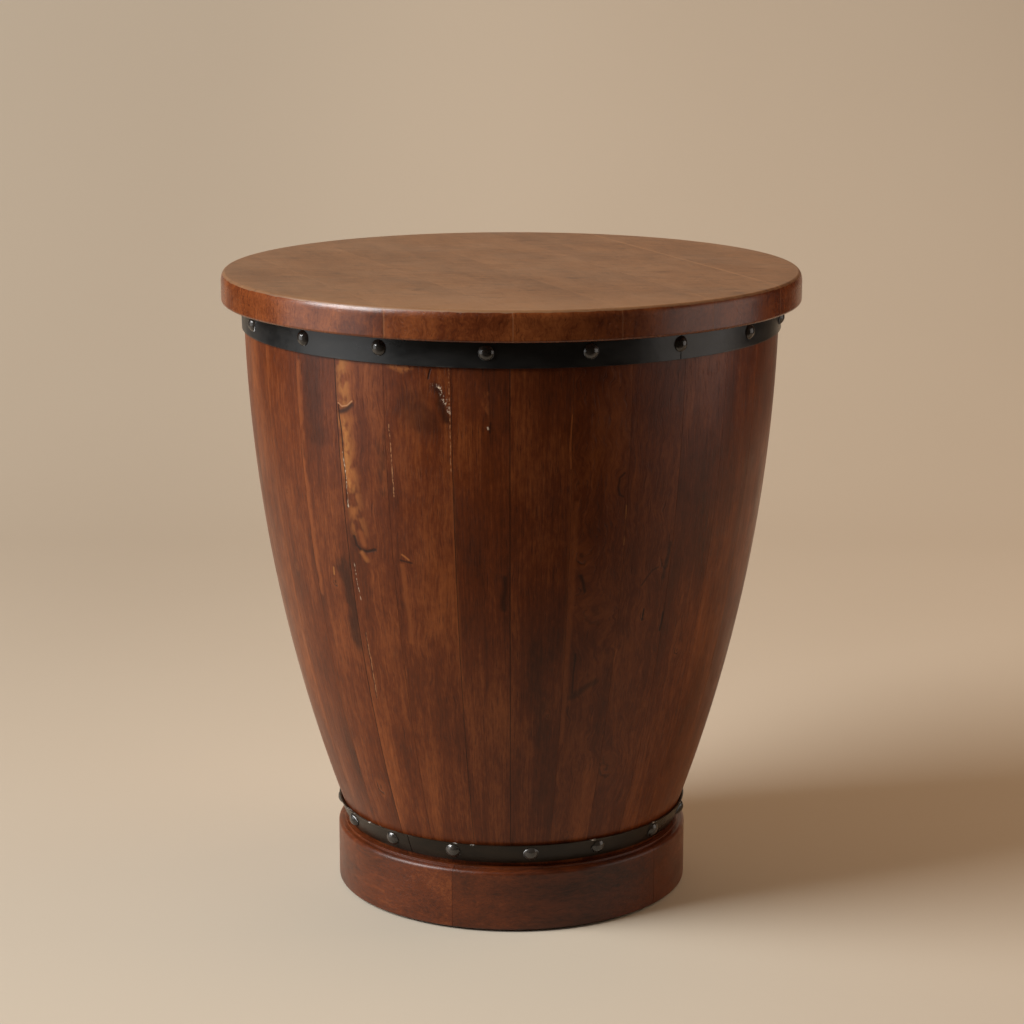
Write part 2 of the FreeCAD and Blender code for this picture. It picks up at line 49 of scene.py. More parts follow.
# How near counts as the same place, and as the same point when a mesh is welded
NEAR = 0.0001
WELD = 0.00001
STAVE_THICKNESS = 0.022
STAVE_FOOT = 0.045
STAVE_TOP = 0.532
STAVE_STEPS = 8
STAVE_EASE = 0.0002
EASE_STEPS = 2
SHARP_ANGLE = math.radians(35)
BILGE_RADIUS = 0.2348
BILGE_HEIGHT = 0.5485
BOW_RADIUS = 1.4145
BOW_TURN = 22
BOW_STEPS = 44
CROZE_FOOT = 0.0795
CROZE_TOP = 0.0865
CROZE_RADIUS = 0.1387
FIRST_STAVE_JOINT = -0.3
STAVE_WIDTH_SHARES = (
    1.02, 1.0, 1.01, 1.0, 1.0, 1.03, 0.98, 0.97, 1.02, 1.01, 0.99, 1.0, 1.03, 0.97, 1.0,
    1.01, 0.99, 1.0, 1.02, 0.98, 1.0, 1.01, 1.0, 0.97, 1.0, 0.95, 0.94, 1.16, 0.94,
)
# Metres of the staves' UV map to one radian round the body
ROUND_SCALE = 0.2


def body_radius(height):
    """Outside radius of the body at a height, on the arc of the bow."""
    drop = BILGE_HEIGHT - height
    return BILGE_RADIUS - BOW_RADIUS + math.sqrt(BOW_RADIUS ** 2 - drop ** 2)


def profile_plate(inner, outer, foot, top):
    """Upright rectangle beside the table's axis, as the start of a profile."""
    bpy.ops.mesh.primitive_plane_add(
        size=1, rotation=(math.radians(90), 0, 0),
        location=((inner + outer) / 2, 0, (foot + top) / 2))
    plate = bpy.context.active_object
    plate.scale = (outer - inner, top - foot, 1)
    bpy.ops.object.transform_apply(location=True, rotation=True, scale=True)
    return plate


def pick(piece, mode, test):
    """Select the vertices, edges or faces of a piece whose middle passes a test."""
    bpy.ops.object.mode_set(mode="EDIT")
    bpy.ops.mesh.select_mode(type=mode)
    bpy.ops.mesh.select_all(action="DESELECT")
    bpy.ops.object.mode_set(mode="OBJECT")
    mesh = piece.data
    if mode == "FACE":
        for face in mesh.polygons:
            face.select = test(face.center)
    elif mode == "EDGE":
        for edge in mesh.edges:
            ends = [mesh.vertices[corner].co for corner in edge.vertices]
            edge.select = test((ends[0] + ends[1]) / 2)
    else:
        for corner in mesh.vertices:
            corner.select = test(corner.co)
    bpy.ops.object.mode_set(mode="EDIT")


def slice_piece(place, normal, **clear):
    """Cut the whole piece in edit mode by a plane."""
    bpy.ops.mesh.select_all(action="SELECT")
    bpy.ops.mesh.bisect(plane_co=place, plane_no=normal, **clear)


def extrude(rise):
    """Pull the picked edges straight up or down."""
    bpy.ops.mesh.extrude_region_move(TRANSFORM_OT_translate={"value": (0, 0, rise)})


def copy_of(piece, name):
    """Copy of a piece with its own mesh, made the active object."""
    bpy.ops.object.select_all(action="DESELECT")
    piece.select_set(True)
    bpy.context.view_layer.objects.active = piece
    bpy.ops.object.duplicate()
    copy = bpy.context.active_object
    copy.name = name
    copy.data.name = name
    return copy


def sweep_round(piece, start, width, steps):
    """Turn a profile to a bearing, then spin it about the table's axis through a width."""
    piece.rotation_euler.z = math.radians(start + FRONT)
    bpy.ops.object.transform_apply(location=False, rotation=True, scale=False)
    bpy.ops.object.mode_set(mode="EDIT")
    bpy.ops.mesh.select_mode(type="FACE")
    bpy.ops.mesh.select_all(action="SELECT")
    bpy.ops.mesh.spin(steps=steps, angle=math.radians(width), center=(0, 0, 0), axis=(0, 0, -1))
    bpy.ops.mesh.select_all(action="SELECT")
    bpy.ops.mesh.remove_doubles(threshold=WELD)
    bpy.ops.mesh.normals_make_consistent(inside=False)
    bpy.ops.object.mode_set(mode="OBJECT")


def ease_edges(piece, width):
    """Round every sharp edge a little, as sanding does, and shade the rest smooth."""
    bevel = piece.modifiers.new("eased_edges", "BEVEL")
    bevel.width = width
    bevel.segments = EASE_STEPS
    bevel.limit_method = "ANGLE"
    bevel.angle_limit = SHARP_ANGLE
    bpy.ops.object.modifier_apply(modifier=bevel.name)
    bpy.ops.object.shade_smooth_by_angle(angle=SHARP_ANGLE)
    even = piece.modifiers.new("even_normals", "WEIGHTED_NORMAL")
    even.keep_sharp = True
    bpy.ops.object.modifier_apply(modifier=even.name)


def seat(piece, material, node):
    """Give a finished piece its material, and let it stand for its CAD node."""
    piece.data.materials.clear()
    piece.data.materials.append(material)
    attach(piece, "root")
    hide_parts(node)


def round_place(bearing):
    """Where a bearing lies on the staves' UV map, in metres from the front."""
    return math.radians(bearing) * ROUND_SCALE


def lay_round(piece, middle):
    """UV map in metres: u runs round the body from the front, v is the height."""
    layer = piece.data.uv_layers.active
    for loop in piece.data.loops:
        place = piece.data.vertices[loop.vertex_index].co
        aside = math.atan2(place.x, -place.y) - math.radians(middle)
        aside = (aside + math.pi) % (2 * math.pi) - math.pi
        layer.data[loop.index].uv = ((aside + math.radians(middle)) * ROUND_SCALE, place.z)


def feed(tree, socket, value):
    """Link a value over the surface to a socket, or set a plain one on it."""
    if isinstance(value, bpy.types.NodeSocket):
        tree.links.new(value, socket)
    else:
        socket.default_value = value


def add_node(tree, kind, sockets=None, **settings):
    """Add a node, set it up, and link or fill its inputs."""
    made = tree.nodes.new(kind)
    for name, value in settings.items():
        setattr(made, name, value)
    for key, value in (sockets or {}).items():
        feed(tree, made.inputs[key], value)
    return made


def reckon(tree, operation, *values):
    """One step of arithmetic on values over the surface."""
    sockets = dict(enumerate(values))
    return add_node(tree, "ShaderNodeMath", sockets, operation=operation).outputs[0]


def times(tree, first, second):
    return reckon(tree, "MULTIPLY", first, second)


def distance(tree, across, along):
    """Length of the slope between two sides at a right angle."""
    squares = reckon(tree, "MULTIPLY_ADD", across, across, times(tree, along, along))
    return reckon(tree, "SQRT", squares)


def hold(tree, value):
    """Hold a value between nought and one."""
    return add_node(tree, "ShaderNodeClamp", {0: value}).outputs[0]


def reckon_place(tree, operation, first, second):
    """One step of arithmetic on places over the surface."""
    key = "Scale" if operation == "SCALE" else 1
    made = add_node(tree, "ShaderNodeVectorMath", {0: first, key: second}, operation=operation)
    return made.outputs["Value" if operation == "DOT_PRODUCT" else "Vector"]


def split(tree, place):
    return add_node(tree, "ShaderNodeSeparateXYZ", {0: place}).outputs


def join(tree, *parts):
    return add_node(tree, "ShaderNodeCombineXYZ", dict(enumerate(parts))).outputs[0]


def spread(tree, value, low, high, to_low=0, to_high=1):
    """Stretch a value from one range to another, held at both ends."""
    sockets = {
        "Value": value, "From Min": low, "From Max": high, "To Min": to_low, "To Max": to_high}
    made = add_node(tree, "ShaderNodeMapRange", sockets, interpolation_type="SMOOTHSTEP")
    return made.outputs["Result"]


def noise(tree, vector, stretch, detail=2, roughness=0.5):
    """Noise whose spots are as fine along each direction as the stretch says, per metre."""
    scaled = reckon_place(tree, "MULTIPLY", vector, stretch)
    sockets = {"Vector": scaled, "Scale": 1, "Detail": detail, "Roughness": roughness}
    return add_node(tree, "ShaderNodeTexNoise", sockets).outputs["Fac"]


def swing(tree, *settings):
    """The same noise, but swinging about nought."""
    return reckon(tree, "SUBTRACT", noise(tree, *settings), 0.5)


def blend_colours(tree, share, first, second, kind="MIX"):
    sockets = {0: share, 6: first, 7: second}
    made = add_node(tree, "ShaderNodeMix", sockets, data_type="RGBA", blend_type=kind)
    return made.outputs[2]


def new_group(name, inputs, outputs):
    """Empty shader node group with named sockets."""
    group = bpy.data.node_groups.new(name, "ShaderNodeTree")
    for way, sockets in (("INPUT", inputs), ("OUTPUT", outputs)):
        for label, kind in sockets.items():
            group.interface.new_socket(label, in_out=way, socket_type=f"NodeSocket{kind}")
    entry = group.nodes.new("NodeGroupInput").outputs
    result = group.nodes.new("NodeGroupOutput").inputs
    return group, entry, result


def place_group(tree, group, **sockets):
    return add_node(tree, "ShaderNodeGroup", sockets, node_tree=group).outputs


# Stained wood of one board: x runs across the grain, y along it and z through it, in metres.
# Each board number has a grain of its own.
stained_grain, entry, result = new_group(
    "stained_grain",
    {"Vector": "Vector", "Board": "Float", "Curl": "Float", "Tone": "Float", "Contrast": "Float",
     "Dark": "Color", "Middle": "Color", "Light": "Color"},
    {"Colour": "Color", "Height": "Float"})
tree = stained_grain
curl = entry["Curl"]
own_place = join(tree, *[times(tree, entry["Board"], apart) for apart in (0.37, 1.91, 0.53)])
own_board = reckon_place(tree, "ADD", entry["Vector"], own_place)
sway = swing(tree, own_board, (9, 1.6, 9), 2)
reach = reckon(tree, "MULTIPLY_ADD", curl, 0.04, 0.010)
knurl = times(tree, swing(tree, own_board, (42, 30, 42), 3), times(tree, curl, 0.045))
swayed = join(tree, reckon(tree, "MULTIPLY_ADD", sway, reach, knurl), knurl, 0)
path = reckon_place(tree, "ADD", own_board, swayed)
rings = reckon(tree, "PINGPONG", times(tree, noise(tree, path, (12, 0.9, 12), 1), 7), 1)
ring_share = reckon(tree, "MULTIPLY_ADD", curl, 0.16, 0.05)
level = times(tree, reckon(tree, "SUBTRACT", rings, 0.5), ring_share)
# Blotches of stain, soft streaks, the mottle of a rag, and long and short fibres, each with how
# fine it is along each direction, its detail and roughness, and its weight
for source, stretch, detail, roughness, weight in (
        (own_board, (20, 7, 20), 5, 0.62, 1.25), (path, (75, 4, 75), 4, 0.65, 0.45),
        (own_board, (280, 130, 280), 3, 0.75, 0.4), (path, (430, 10, 430), 3, 0.65, 0.5),
        (path, (600, 90, 600), 1, 0.5, 0.3)):
    layer = swing(tree, source, stretch, detail, roughness)
    level = reckon(tree, "MULTIPLY_ADD", layer, weight, level)
level = reckon(tree, "MULTIPLY_ADD", level, entry["Contrast"], entry["Tone"])
colour = blend_colours(tree, hold(tree, times(tree, level, 2)), entry["Dark"], entry["Middle"])
lighter = hold(tree, reckon(tree, "MULTIPLY_ADD", level, 2, -1))
colour = blend_colours(tree, lighter, colour, entry["Light"])
pores = spread(tree, noise(tree, path, (1400, 55, 1400), 1), 0.6, 0.72)
colour = blend_colours(tree, times(tree, pores, 0.5), colour, entry["Dark"])
feed(tree, result["Colour"], colour)
ridges = noise(tree, path, (420, 8, 420), 3, 0.65)
feed(tree, result["Height"], reckon(tree, "MULTIPLY_ADD", pores, -0.4, times(tree, ridges, 0.6)))


# Knot: a dark ragged core, a broken dark rim on its lower side, a pale halo, and pushed grain
knot, entry, result = new_group(
    "knot", {"Vector": "Vector", "Across": "Float", "Along": "Float", "Radius": "Float"},
    {"Core": "Float", "Rim": "Float", "Halo": "Float", "Push": "Float"})
tree = knot
place = split(tree, entry["Vector"])
aside = reckon(tree, "SUBTRACT", place[0], entry["Across"])
along = reckon(tree, "SUBTRACT", place[1], entry["Along"])
wobble = swing(tree, entry["Vector"], (190, 130, 190), 3)
across_share = reckon(tree, "DIVIDE", aside, entry["Radius"])
across_share = reckon(tree, "MULTIPLY_ADD", wobble, 1.8, across_share)
along_share = reckon(tree, "DIVIDE", along, times(tree, entry["Radius"], 1.3))
along_share = reckon(tree, "MULTIPLY_ADD", wobble, -1.3, along_share)
far = distance(tree, across_share, along_share)
feed(tree, result["Core"], spread(tree, far, 0.1, 0.6, 1, 0))
edge = times(tree, spread(tree, far, 0.75, 0.95), spread(tree, far, 0.95, 1.25, 1, 0))
lower = spread(tree, reckon(tree, "ADD", along_share, across_share), 0.2, -0.8)
feed(tree, result["Rim"], times(tree, edge, lower))
feed(tree, result["Halo"], spread(tree, far, 0.6, 2.6, 1, 0))
fade = reckon(tree, "POWER", 0.5, times(tree, times(tree, far, far), 0.22))
feed(tree, result["Push"], times(tree, times(tree, aside, fade), -0.85))


# Line on the surface, such as a streak, a crack or a worn joint, from one place to another
mark_line, entry, result = new_group(
    "mark_line",
    {"Vector": "Vector", "Start": "Vector", "End": "Vector", "Width": "Float", "Wander": "Float",
     "Breaks": "Float", "Fine": "Float"},
    {"Mask": "Float"})
tree = mark_line
run = reckon_place(tree, "SUBTRACT", entry["End"], entry["Start"])
apart = reckon_place(tree, "SUBTRACT", entry["Vector"], entry["Start"])
reached = reckon_place(tree, "DOT_PRODUCT", apart, run)
held = hold(tree, reckon(tree, "DIVIDE", reached, reckon_place(tree, "DOT_PRODUCT", run, run)))
nearest = reckon_place(tree, "SCALE", run, held)
gap = split(tree, reckon_place(tree, "SUBTRACT", apart, nearest))
bend = swing(tree, entry["Vector"], (90, 60, 90), 3)
far = distance(tree, reckon(tree, "MULTIPLY_ADD", bend, entry["Wander"], gap[0]), gap[1])
inside = spread(tree, reckon(tree, "DIVIDE", far, entry["Width"]), 0.1, 1.0, 1, 0)
fine = reckon_place(tree, "SCALE", entry["Vector"], entry["Fine"])
gaps = spread(
    tree, noise(tree, fine, (240, 120, 240), 2),
    *[reckon(tree, "MULTIPLY_ADD", entry["Breaks"], 0.6, more) for more in (-0.15, 0.05)])
feed(tree, result["Mask"], times(tree, inside, gaps))


def new_material(name):
    material = bpy.data.materials.new(name)
    material.use_nodes = True
    return material, material.node_tree


def finish_surface(tree, colour, roughness, relief, strength, depth, shine=0.5, metal=0):
    """Feed the shader its colour, its roughness and a relief of so many metres."""
    shader = tree.nodes["Principled BSDF"].inputs
    sockets = {"Strength": strength, "Distance": depth, "Height": relief}
    bump = add_node(tree, "ShaderNodeBump", sockets)
    feed(tree, shader["Base Color"], colour)
    feed(tree, shader["Roughness"], roughness)
    feed(tree, shader["Normal"], bump.outputs[0])
    shader["Specular IOR Level"].default_value = shine
    shader["Metallic"].default_value = metal


# The stain goes from nearly black in the pores to orange where it was rubbed through
STAIN_DARK = (0.018, 0.0050, 0.0022, 1)
STAIN_MIDDLE = (0.092, 0.0195, 0.0046, 1)
STAIN_LIGHT = (0.225, 0.062, 0.0155, 1)
STAIN_GOLD = (0.36, 0.145, 0.036, 1)


def stained_acacia(tree, **sockets):
    return place_group(
        tree, stained_grain, Dark=STAIN_DARK, Middle=STAIN_MIDDLE, Light=STAIN_LIGHT, **sockets)


def stave_wood(name, board, tone, joints, wear, curl, knots, marks):
    """Stained, varnished acacia. Joints are the bearings of the stave's two edges."""
    material, tree = new_material(name)
    place = add_node(tree, "ShaderNodeUVMap", uv_map="UVMap").outputs[0]
    spots = []
    grain_place = place
    for bearing, height, radius, depth in knots:
        spot = place_group(
            tree, knot, Vector=place, Across=round_place(bearing), Along=height, Radius=radius)
        spots.append((spot, depth))
        grain_place = reckon_place(tree, "ADD", grain_place, join(tree, spot["Push"]))
    grain = stained_acacia(
        tree, Vector=grain_place, Board=board, Curl=curl, Tone=tone, Contrast=1.0)
    colour = grain["Colour"]
    height = grain["Height"]
    for spot, depth in spots:
        colour = blend_colours(tree, times(tree, spot["Halo"], 0.3 * depth), colour, STAIN_LIGHT)
        rim = times(tree, spot["Rim"], 0.85 * depth)
        colour = blend_colours(tree, rim, colour, STAIN_DARK)
        colour = blend_colours(tree, times(tree, spot["Core"], 0.8 * depth), colour, STAIN_DARK)
        height = reckon(tree, "MULTIPLY_ADD", rim, -1.5, height)
    for points, width, wander, breaks, fine, paint, share, depth in marks:
        corners = [(round_place(bearing), rise, 0) for bearing, rise in points]
        mask = None
        for start, end in zip(corners, corners[1:]):
            stroke = place_group(
                tree, mark_line, Vector=place, Start=start, End=end, Width=width, Wander=wander,
                Breaks=breaks, Fine=fine)["Mask"]
            mask = reckon(tree, "MAXIMUM", mask, stroke) if mask else stroke
        colour = blend_colours(tree, times(tree, mask, share), colour, paint)
        if depth:
            height = reckon(tree, "MULTIPLY_ADD", mask, depth, height)
    across = split(tree, place)[0]
    worn_patches = spread(tree, noise(tree, place, (30, 9, 30), 3), 0.44, 0.62)
    for joint, side, (dark, pale) in zip(joints, (1, -1), wear):
        from_joint = times(tree, reckon(tree, "SUBTRACT", across, round_place(joint)), side)
        rubbed = times(tree, spread(tree, from_joint, 0.0004, 0.0024, 1, 0), worn_patches)
        colour = blend_colours(tree, times(tree, rubbed, pale), colour, STAIN_LIGHT)
        soiled = spread(tree, from_joint, 0.0001, 0.0007, 1, 0)
        colour = blend_colours(tree, times(tree, soiled, dark), colour, STAIN_DARK)
    smears = noise(tree, place, (14, 7, 14), 4, 0.6)
    roughness = spread(tree, smears, 0.3, 0.7, 0.30, 0.44)
    finish_surface(tree, colour, roughness, height, strength=0.35, depth=0.0006, shine=0.26)
    return material


stave_profile = profile_plate(
    BILGE_RADIUS - STAVE_THICKNESS, BILGE_RADIUS, BILGE_HEIGHT, BILGE_HEIGHT + STAVE_THICKNESS)
pick(stave_profile, "EDGE", lambda middle: middle.z < BILGE_HEIGHT + NEAR)
bpy.ops.mesh.spin(
    steps=BOW_STEPS, angle=math.radians(BOW_TURN), axis=(0, -1, 0),
    center=(BILGE_RADIUS - BOW_RADIUS, 0, BILGE_HEIGHT))
slice_piece((0, 0, STAVE_FOOT), (0, 0, 1), clear_inner=True)
slice_piece((0, 0, STAVE_TOP), (0, 0, 1), clear_outer=True)
slice_piece((0, 0, CROZE_FOOT), (0, 0, 1))
slice_piece((0, 0, CROZE_TOP), (0, 0, 1))
pick(stave_profile, "FACE", lambda middle: CROZE_FOOT < middle.z < CROZE_TOP)
bpy.ops.mesh.bisect(plane_co=(CROZE_RADIUS, 0, 0), plane_no=(1, 0, 0))
pick(stave_profile, "FACE", lambda middle: (
    CROZE_FOOT < middle.z < CROZE_TOP and middle.x < CROZE_RADIUS))
bpy.ops.mesh.delete(type="FACE")
bpy.ops.object.mode_set(mode="OBJECT")

# How light each stave took the stain, and how curly its grain is where it isn't straight
STAVE_TONES = (
    0.50, 0.53, 0.51, 0.52, 0.53, 0.57, 0.53, 0.50, 0.53, 0.46, 0.50, 0.55, 0.49, 0.52, 0.47,
    0.54, 0.50, 0.46, 0.52, 0.49, 0.53, 0.50, 0.52, 0.49, 0.53, 0.53, 0.54, 0.52, 0.46,
)
STAVE_CURLS = {2: 0.55, 3: 0.4, 4: 0.15, 13: 0.7, 20: 0.5, 27: 0.25, 28: 0.2}
COMMON_CURL = 0.05
# How much of a dark line and of pale wear shows at the joint where each stave starts
JOINT_WEAR = {
    1: (0.8, 0.15), 2: (0.1, 0.3), 3: (0.1, 0.3), 4: (0.15, 0.1), 5: (0.05, 0.3), 6: (0.1, 0.3),
    7: (0.2, 0.2), 25: (0.1, 0.1), 26: (0.1, 0.2), 27: (0.9, 0.1), 28: (0.2, 0.0), 29: (0.6, 0.3),
}
COMMON_WEAR = (0.25, 0.3)
# Each knot: its bearing, height and radius, and how strongly it shows
STAVE_KNOTS = {
    1: [(9.1, 0.2065, 0.0016, 0.9)],
    2: [(15.2, 0.3495, 0.005, 0.7), (19.0, 0.30, 0.009, 0.4)],
    3: [(31.4, 0.2905, 0.003, 0.8), (36.0, 0.337, 0.005, 0.6), (27.1, 0.150, 0.007, 0.7)],
    4: [(43.8, 0.251, 0.003, 0.8)],
    11: [(136.0, 0.33, 0.005, 1)],
    16: [(-175.0, 0.21, 0.004, 1)],
    20: [(-125.0, 0.40, 0.006, 1)],
    24: [(-64.0, 0.168, 0.003, 0.8)],
    25: [(-57.7, 0.3845, 0.0018, 0.9), (-58.5, 0.316, 0.0018, 0.9)],
    26: [(-43.4, 0.313, 0.0026, 1), (-42.1, 0.1215, 0.0045, 0.9)],
}
# A pale spot, and painted glints: sparse pale dots of light along cracks and joints
PALE_SPOT_AND_GLINT = (0.55, 0.42, 0.30, 1)
# Pale colour of rubbed edges and hairlines, also used for painted glints in broken lines down
# cracks and joints
RUBBED_EDGE_AND_GLINT = (0.33, 0.15, 0.065, 1)
ORANGE = (0.26, 0.085, 0.021, 1)
# Each mark: its points as bearing and height, then its width, wander, breaks, how fine the breaks
# are, its colour, how much of it covers, and its depth
STAVE_MARKS = {
    1: [
        (((12.3, 0.462), (12.35, 0.440)), 0.0008, 0.001, 0.1, 1, STAIN_DARK, 0.7, 0.0),
        (((12.2, 0.470), (11.8, 0.445), (12.1, 0.425)), 0.0010, 0.001, 0.7, 1,
         STAIN_LIGHT, 0.9, 0.0),
        (((5.5, 0.270), (7.2, 0.180)), 0.0110, 0.024, 0.80, 0.4, STAIN_DARK, 0.4, 0.0),
    ],
    2: [
        (((24.6, 0.390), (24.7, 0.356)), 0.0008, 0.001, 0.8, 1, STAIN_GOLD, 0.6, 0.0),
        (((15.2, 0.332), (16.2, 0.318)), 0.0022, 0.004, 0.2, 1, STAIN_DARK, 0.8, 0.0),
        (((13.6, 0.395), (13.3, 0.300), (13.0, 0.180)), 0.0035, 0.004, 0.4, 0.5,
         STAIN_LIGHT, 0.4, 0.0),
        (((15.0, 0.262), (14.8, 0.226)), 0.0013, 0.002, 0.1, 1, STAIN_DARK, 0.8, 0.0),
        (((14.6, 0.222), (20.5, 0.235)), 0.0050, 0.006, 0.3, 0.7, STAIN_DARK, 0.6, 0.0),
        (((23.8, 0.4180), (22.7, 0.4140), (22.4, 0.4070), (22.8, 0.4000), (23.7, 0.3980)),
         0.0015, 0.002, 0.1, 1, STAIN_DARK, 0.7, 0.0),
    ],
    3: [
        (((37.2, 0.290), (36.9, 0.274)), 0.0019, 0.002, 0.1, 1, STAIN_DARK, 1, -0.3),
        (((31.4, 0.296), (31.2, 0.286)), 0.0012, 0.001, 0.1, 1, STAIN_DARK, 1, -0.3),
        (((36.6, 0.352), (35.8, 0.322)), 0.0028, 0.005, 0.3, 1, STAIN_DARK, 0.7, 0.0),
        (((30.0, 0.318), (32.5, 0.330), (34.0, 0.332)), 0.0012, 0.002, 0.1, 1,
         STAIN_DARK, 0.7, 0.0),
        (((25.4, 0.262), (23.8, 0.232), (22.6, 0.190)), 0.0012, 0.003, 0.2, 1,
         STAIN_LIGHT, 0.8, 0.0),
    ],
    26: [
        (((-39.6, 0.332), (-39.2, 0.308), (-38.6, 0.262)), 0.0130, 0.024, 0.74, 0.5,
         STAIN_DARK, 0.7, 0.0),
        (((-43.4, 0.326), (-43.6, 0.320)), 0.0014, 0.002, 0.2, 1, STAIN_GOLD, 0.6, 0.0),
        (((-49.0, 0.500), (-49.4, 0.400), (-49.0, 0.300)), 0.0045, 0.012, 0.82, 0.4,
         STAIN_LIGHT, 0.5, 0.0),
        (((-45.5, 0.520), (-44.5, 0.440)), 0.0140, 0.020, 0.4, 0.5, STAIN_DARK, 0.45, 0.0),
    ],
    27: [
        (((-36.4, 0.530), (-36.1, 0.474)), 0.0088, 0.006, 0.86, 0.6, STAIN_GOLD, 0.5, 0.0),
        (((-36.4, 0.458), (-35.6, 0.402), (-35.2, 0.380), (-34.5, 0.362)), 0.0115, 0.010, 0.88, 0.5,
         ORANGE, 0.75, 0.0),
        (((-36.4, 0.455), (-36.0, 0.420), (-35.7, 0.400)), 0.0062, 0.006, 0.90, 0.8,
         STAIN_GOLD, 0.6,
         0.0),
        (((-37.0, 0.4645), (-35.6, 0.4665), (-34.2, 0.4715)), 0.0034, 0.002, 0.0, 1,
         STAIN_DARK, 0.85, 0.0),
        (((-37.6, 0.4715), (-36.6, 0.4690), (-35.3, 0.4702), (-34.0, 0.4745)),
         0.0010, 0.001, 0.0, 1, RUBBED_EDGE_AND_GLINT, 0.9, 0.5),
        (((-37.5, 0.4700), (-37.1, 0.4430), (-36.9, 0.4150), (-37.1, 0.3830)),
         0.0009, 0.002, 0.15, 1, STAIN_DARK, 1, -1.0),
        # Painted glints: sparse pale dots along the crack, and one at its foot
        (((-37.2, 0.4300), (-36.8, 0.4150), (-36.9, 0.3830)), 0.0008, 0.002, 0.98, 2.6,
         PALE_SPOT_AND_GLINT, 0.6, 0.0),
        (((-36.9, 0.3845), (-36.85, 0.3835)), 0.0011, 0.001, 0.0, 1, PALE_SPOT_AND_GLINT, 0.6, 0.0),
        (((-34.2, 0.3620), (-33.4, 0.3520)), 0.0045, 0.004, 0.1, 1, STAIN_LIGHT, 0.6, 0.0),
        (((-36.1, 0.3580), (-35.5, 0.3505), (-34.3, 0.3465), (-32.6, 0.3465), (-30.8, 0.3490)),
         0.0022, 0.003, 0.0, 1, STAIN_DARK, 0.95, -0.8),
        (((-34.2, 0.3445), (-32.9, 0.3385)), 0.0036, 0.006, 0.4, 1, ORANGE, 0.7, 0.0),
        # Painted glints along the joint lower down
        (((-36.9, 0.3340), (-36.7, 0.3190), (-36.2, 0.3015)), 0.0007, 0.001, 0.98, 2.6,
         PALE_SPOT_AND_GLINT, 0.6, 0.0),
        # A broken pale line down the crack, partly painted glints
        (((-36.2, 0.2715), (-35.9, 0.2470), (-36.0, 0.2115)), 0.0008, 0.002, 0.9, 2.6,
         RUBBED_EDGE_AND_GLINT, 0.9, 0.0),
        (((-36.4, 0.2715), (-36.1, 0.2470), (-36.2, 0.2115)), 0.0008, 0.002, 0.2, 1,
         STAIN_DARK, 0.8, 0.0),
        (((-27.2, 0.453), (-27.6, 0.400)), 0.0060, 0.012, 0.84, 0.5, STAIN_DARK, 0.5, 0.0),
    ],
    28: [
        (((-24.6, 0.508), (-22.2, 0.5045), (-20.4, 0.508)), 0.0044, 0.004, 0.86, 1.2,
         ORANGE, 0.75, 0.0),
        (((-25.4, 0.4585), (-25.2, 0.4370), (-25.1, 0.3970)), 0.0007, 0.002, 0.88, 3,
         RUBBED_EDGE_AND_GLINT, 0.9, 0.0),
        (((-21.0, 0.478), (-17.0, 0.462)), 0.0190, 0.030, 0.35, 0.4, STAIN_DARK, 0.5, 0.0),
        (((-16.0, 0.5065), (-16.4, 0.5025), (-16.6, 0.4985)), 0.0010, 0.003, 0.0, 1,
         STAIN_DARK, 1, -1.0),
        (((-15.5, 0.4925), (-14.2, 0.4860), (-13.0, 0.4650)), 0.0050, 0.008, 0.2, 1,
         STAIN_DARK, 0.8, -0.5),
        # Painted glints: pale dots along the resin crack, and a big one on it
        (((-16.0, 0.4935), (-14.4, 0.4920), (-13.2, 0.4810), (-12.35, 0.4720)),
         0.0032, 0.010, 1.12, 3.4, PALE_SPOT_AND_GLINT, 0.75, 1.0),
        (((-14.6, 0.4920), (-14.3, 0.4912)), 0.0012, 0.002, 0.3, 2, PALE_SPOT_AND_GLINT, 1, 0.0),
        (((-12.4, 0.4760), (-12.3, 0.4705)), 0.0009, 0.001, 0.8, 3, PALE_SPOT_AND_GLINT, 0.6, 0.0),
        # The pale joint, broken into specks that are partly painted glints
        (((-12.4, 0.510), (-12.4, 0.478)), 0.0006, 0.001, 0.94, 3, RUBBED_EDGE_AND_GLINT, 0.8, 0.0),
        (((-12.35, 0.470), (-12.35, 0.4200)), 0.0006, 0.001, 0.94, 3, RUBBED_EDGE_AND_GLINT, 0.8, 0.0),
        (((-24.1, 0.3475), (-22.6, 0.3435)), 0.0013, 0.002, 0.2, 1, ORANGE, 0.9, 0.0),
        (((-24.6, 0.3425), (-22.0, 0.3410)), 0.0013, 0.002, 0.1, 1, STAIN_DARK, 0.8, 0.0),
        (((-24.2, 0.338), (-23.6, 0.270)), 0.0035, 0.004, 0.2, 0.6, STAIN_LIGHT, 0.45, 0.0),
    ],
    29: [
        (((-1.5, 0.332), (-1.8, 0.304)), 0.0035, 0.005, 0.3, 1, STAIN_DARK, 0.7, 0.0),
        (((-4.7, 0.4600), (-4.6, 0.4585)), 0.0010, 0.001, 0.0, 1, PALE_SPOT_AND_GLINT, 0.8, 0.3),
        (((-4.2, 0.4560), (-4.2, 0.4640)), 0.0014, 0.002, 0.1, 1, STAIN_DARK, 0.8, 0.0),
        (((-5.2, 0.488), (-5.0, 0.462)), 0.0032, 0.006, 0.84, 0.8, STAIN_LIGHT, 0.5, 0.0),
    ],
}

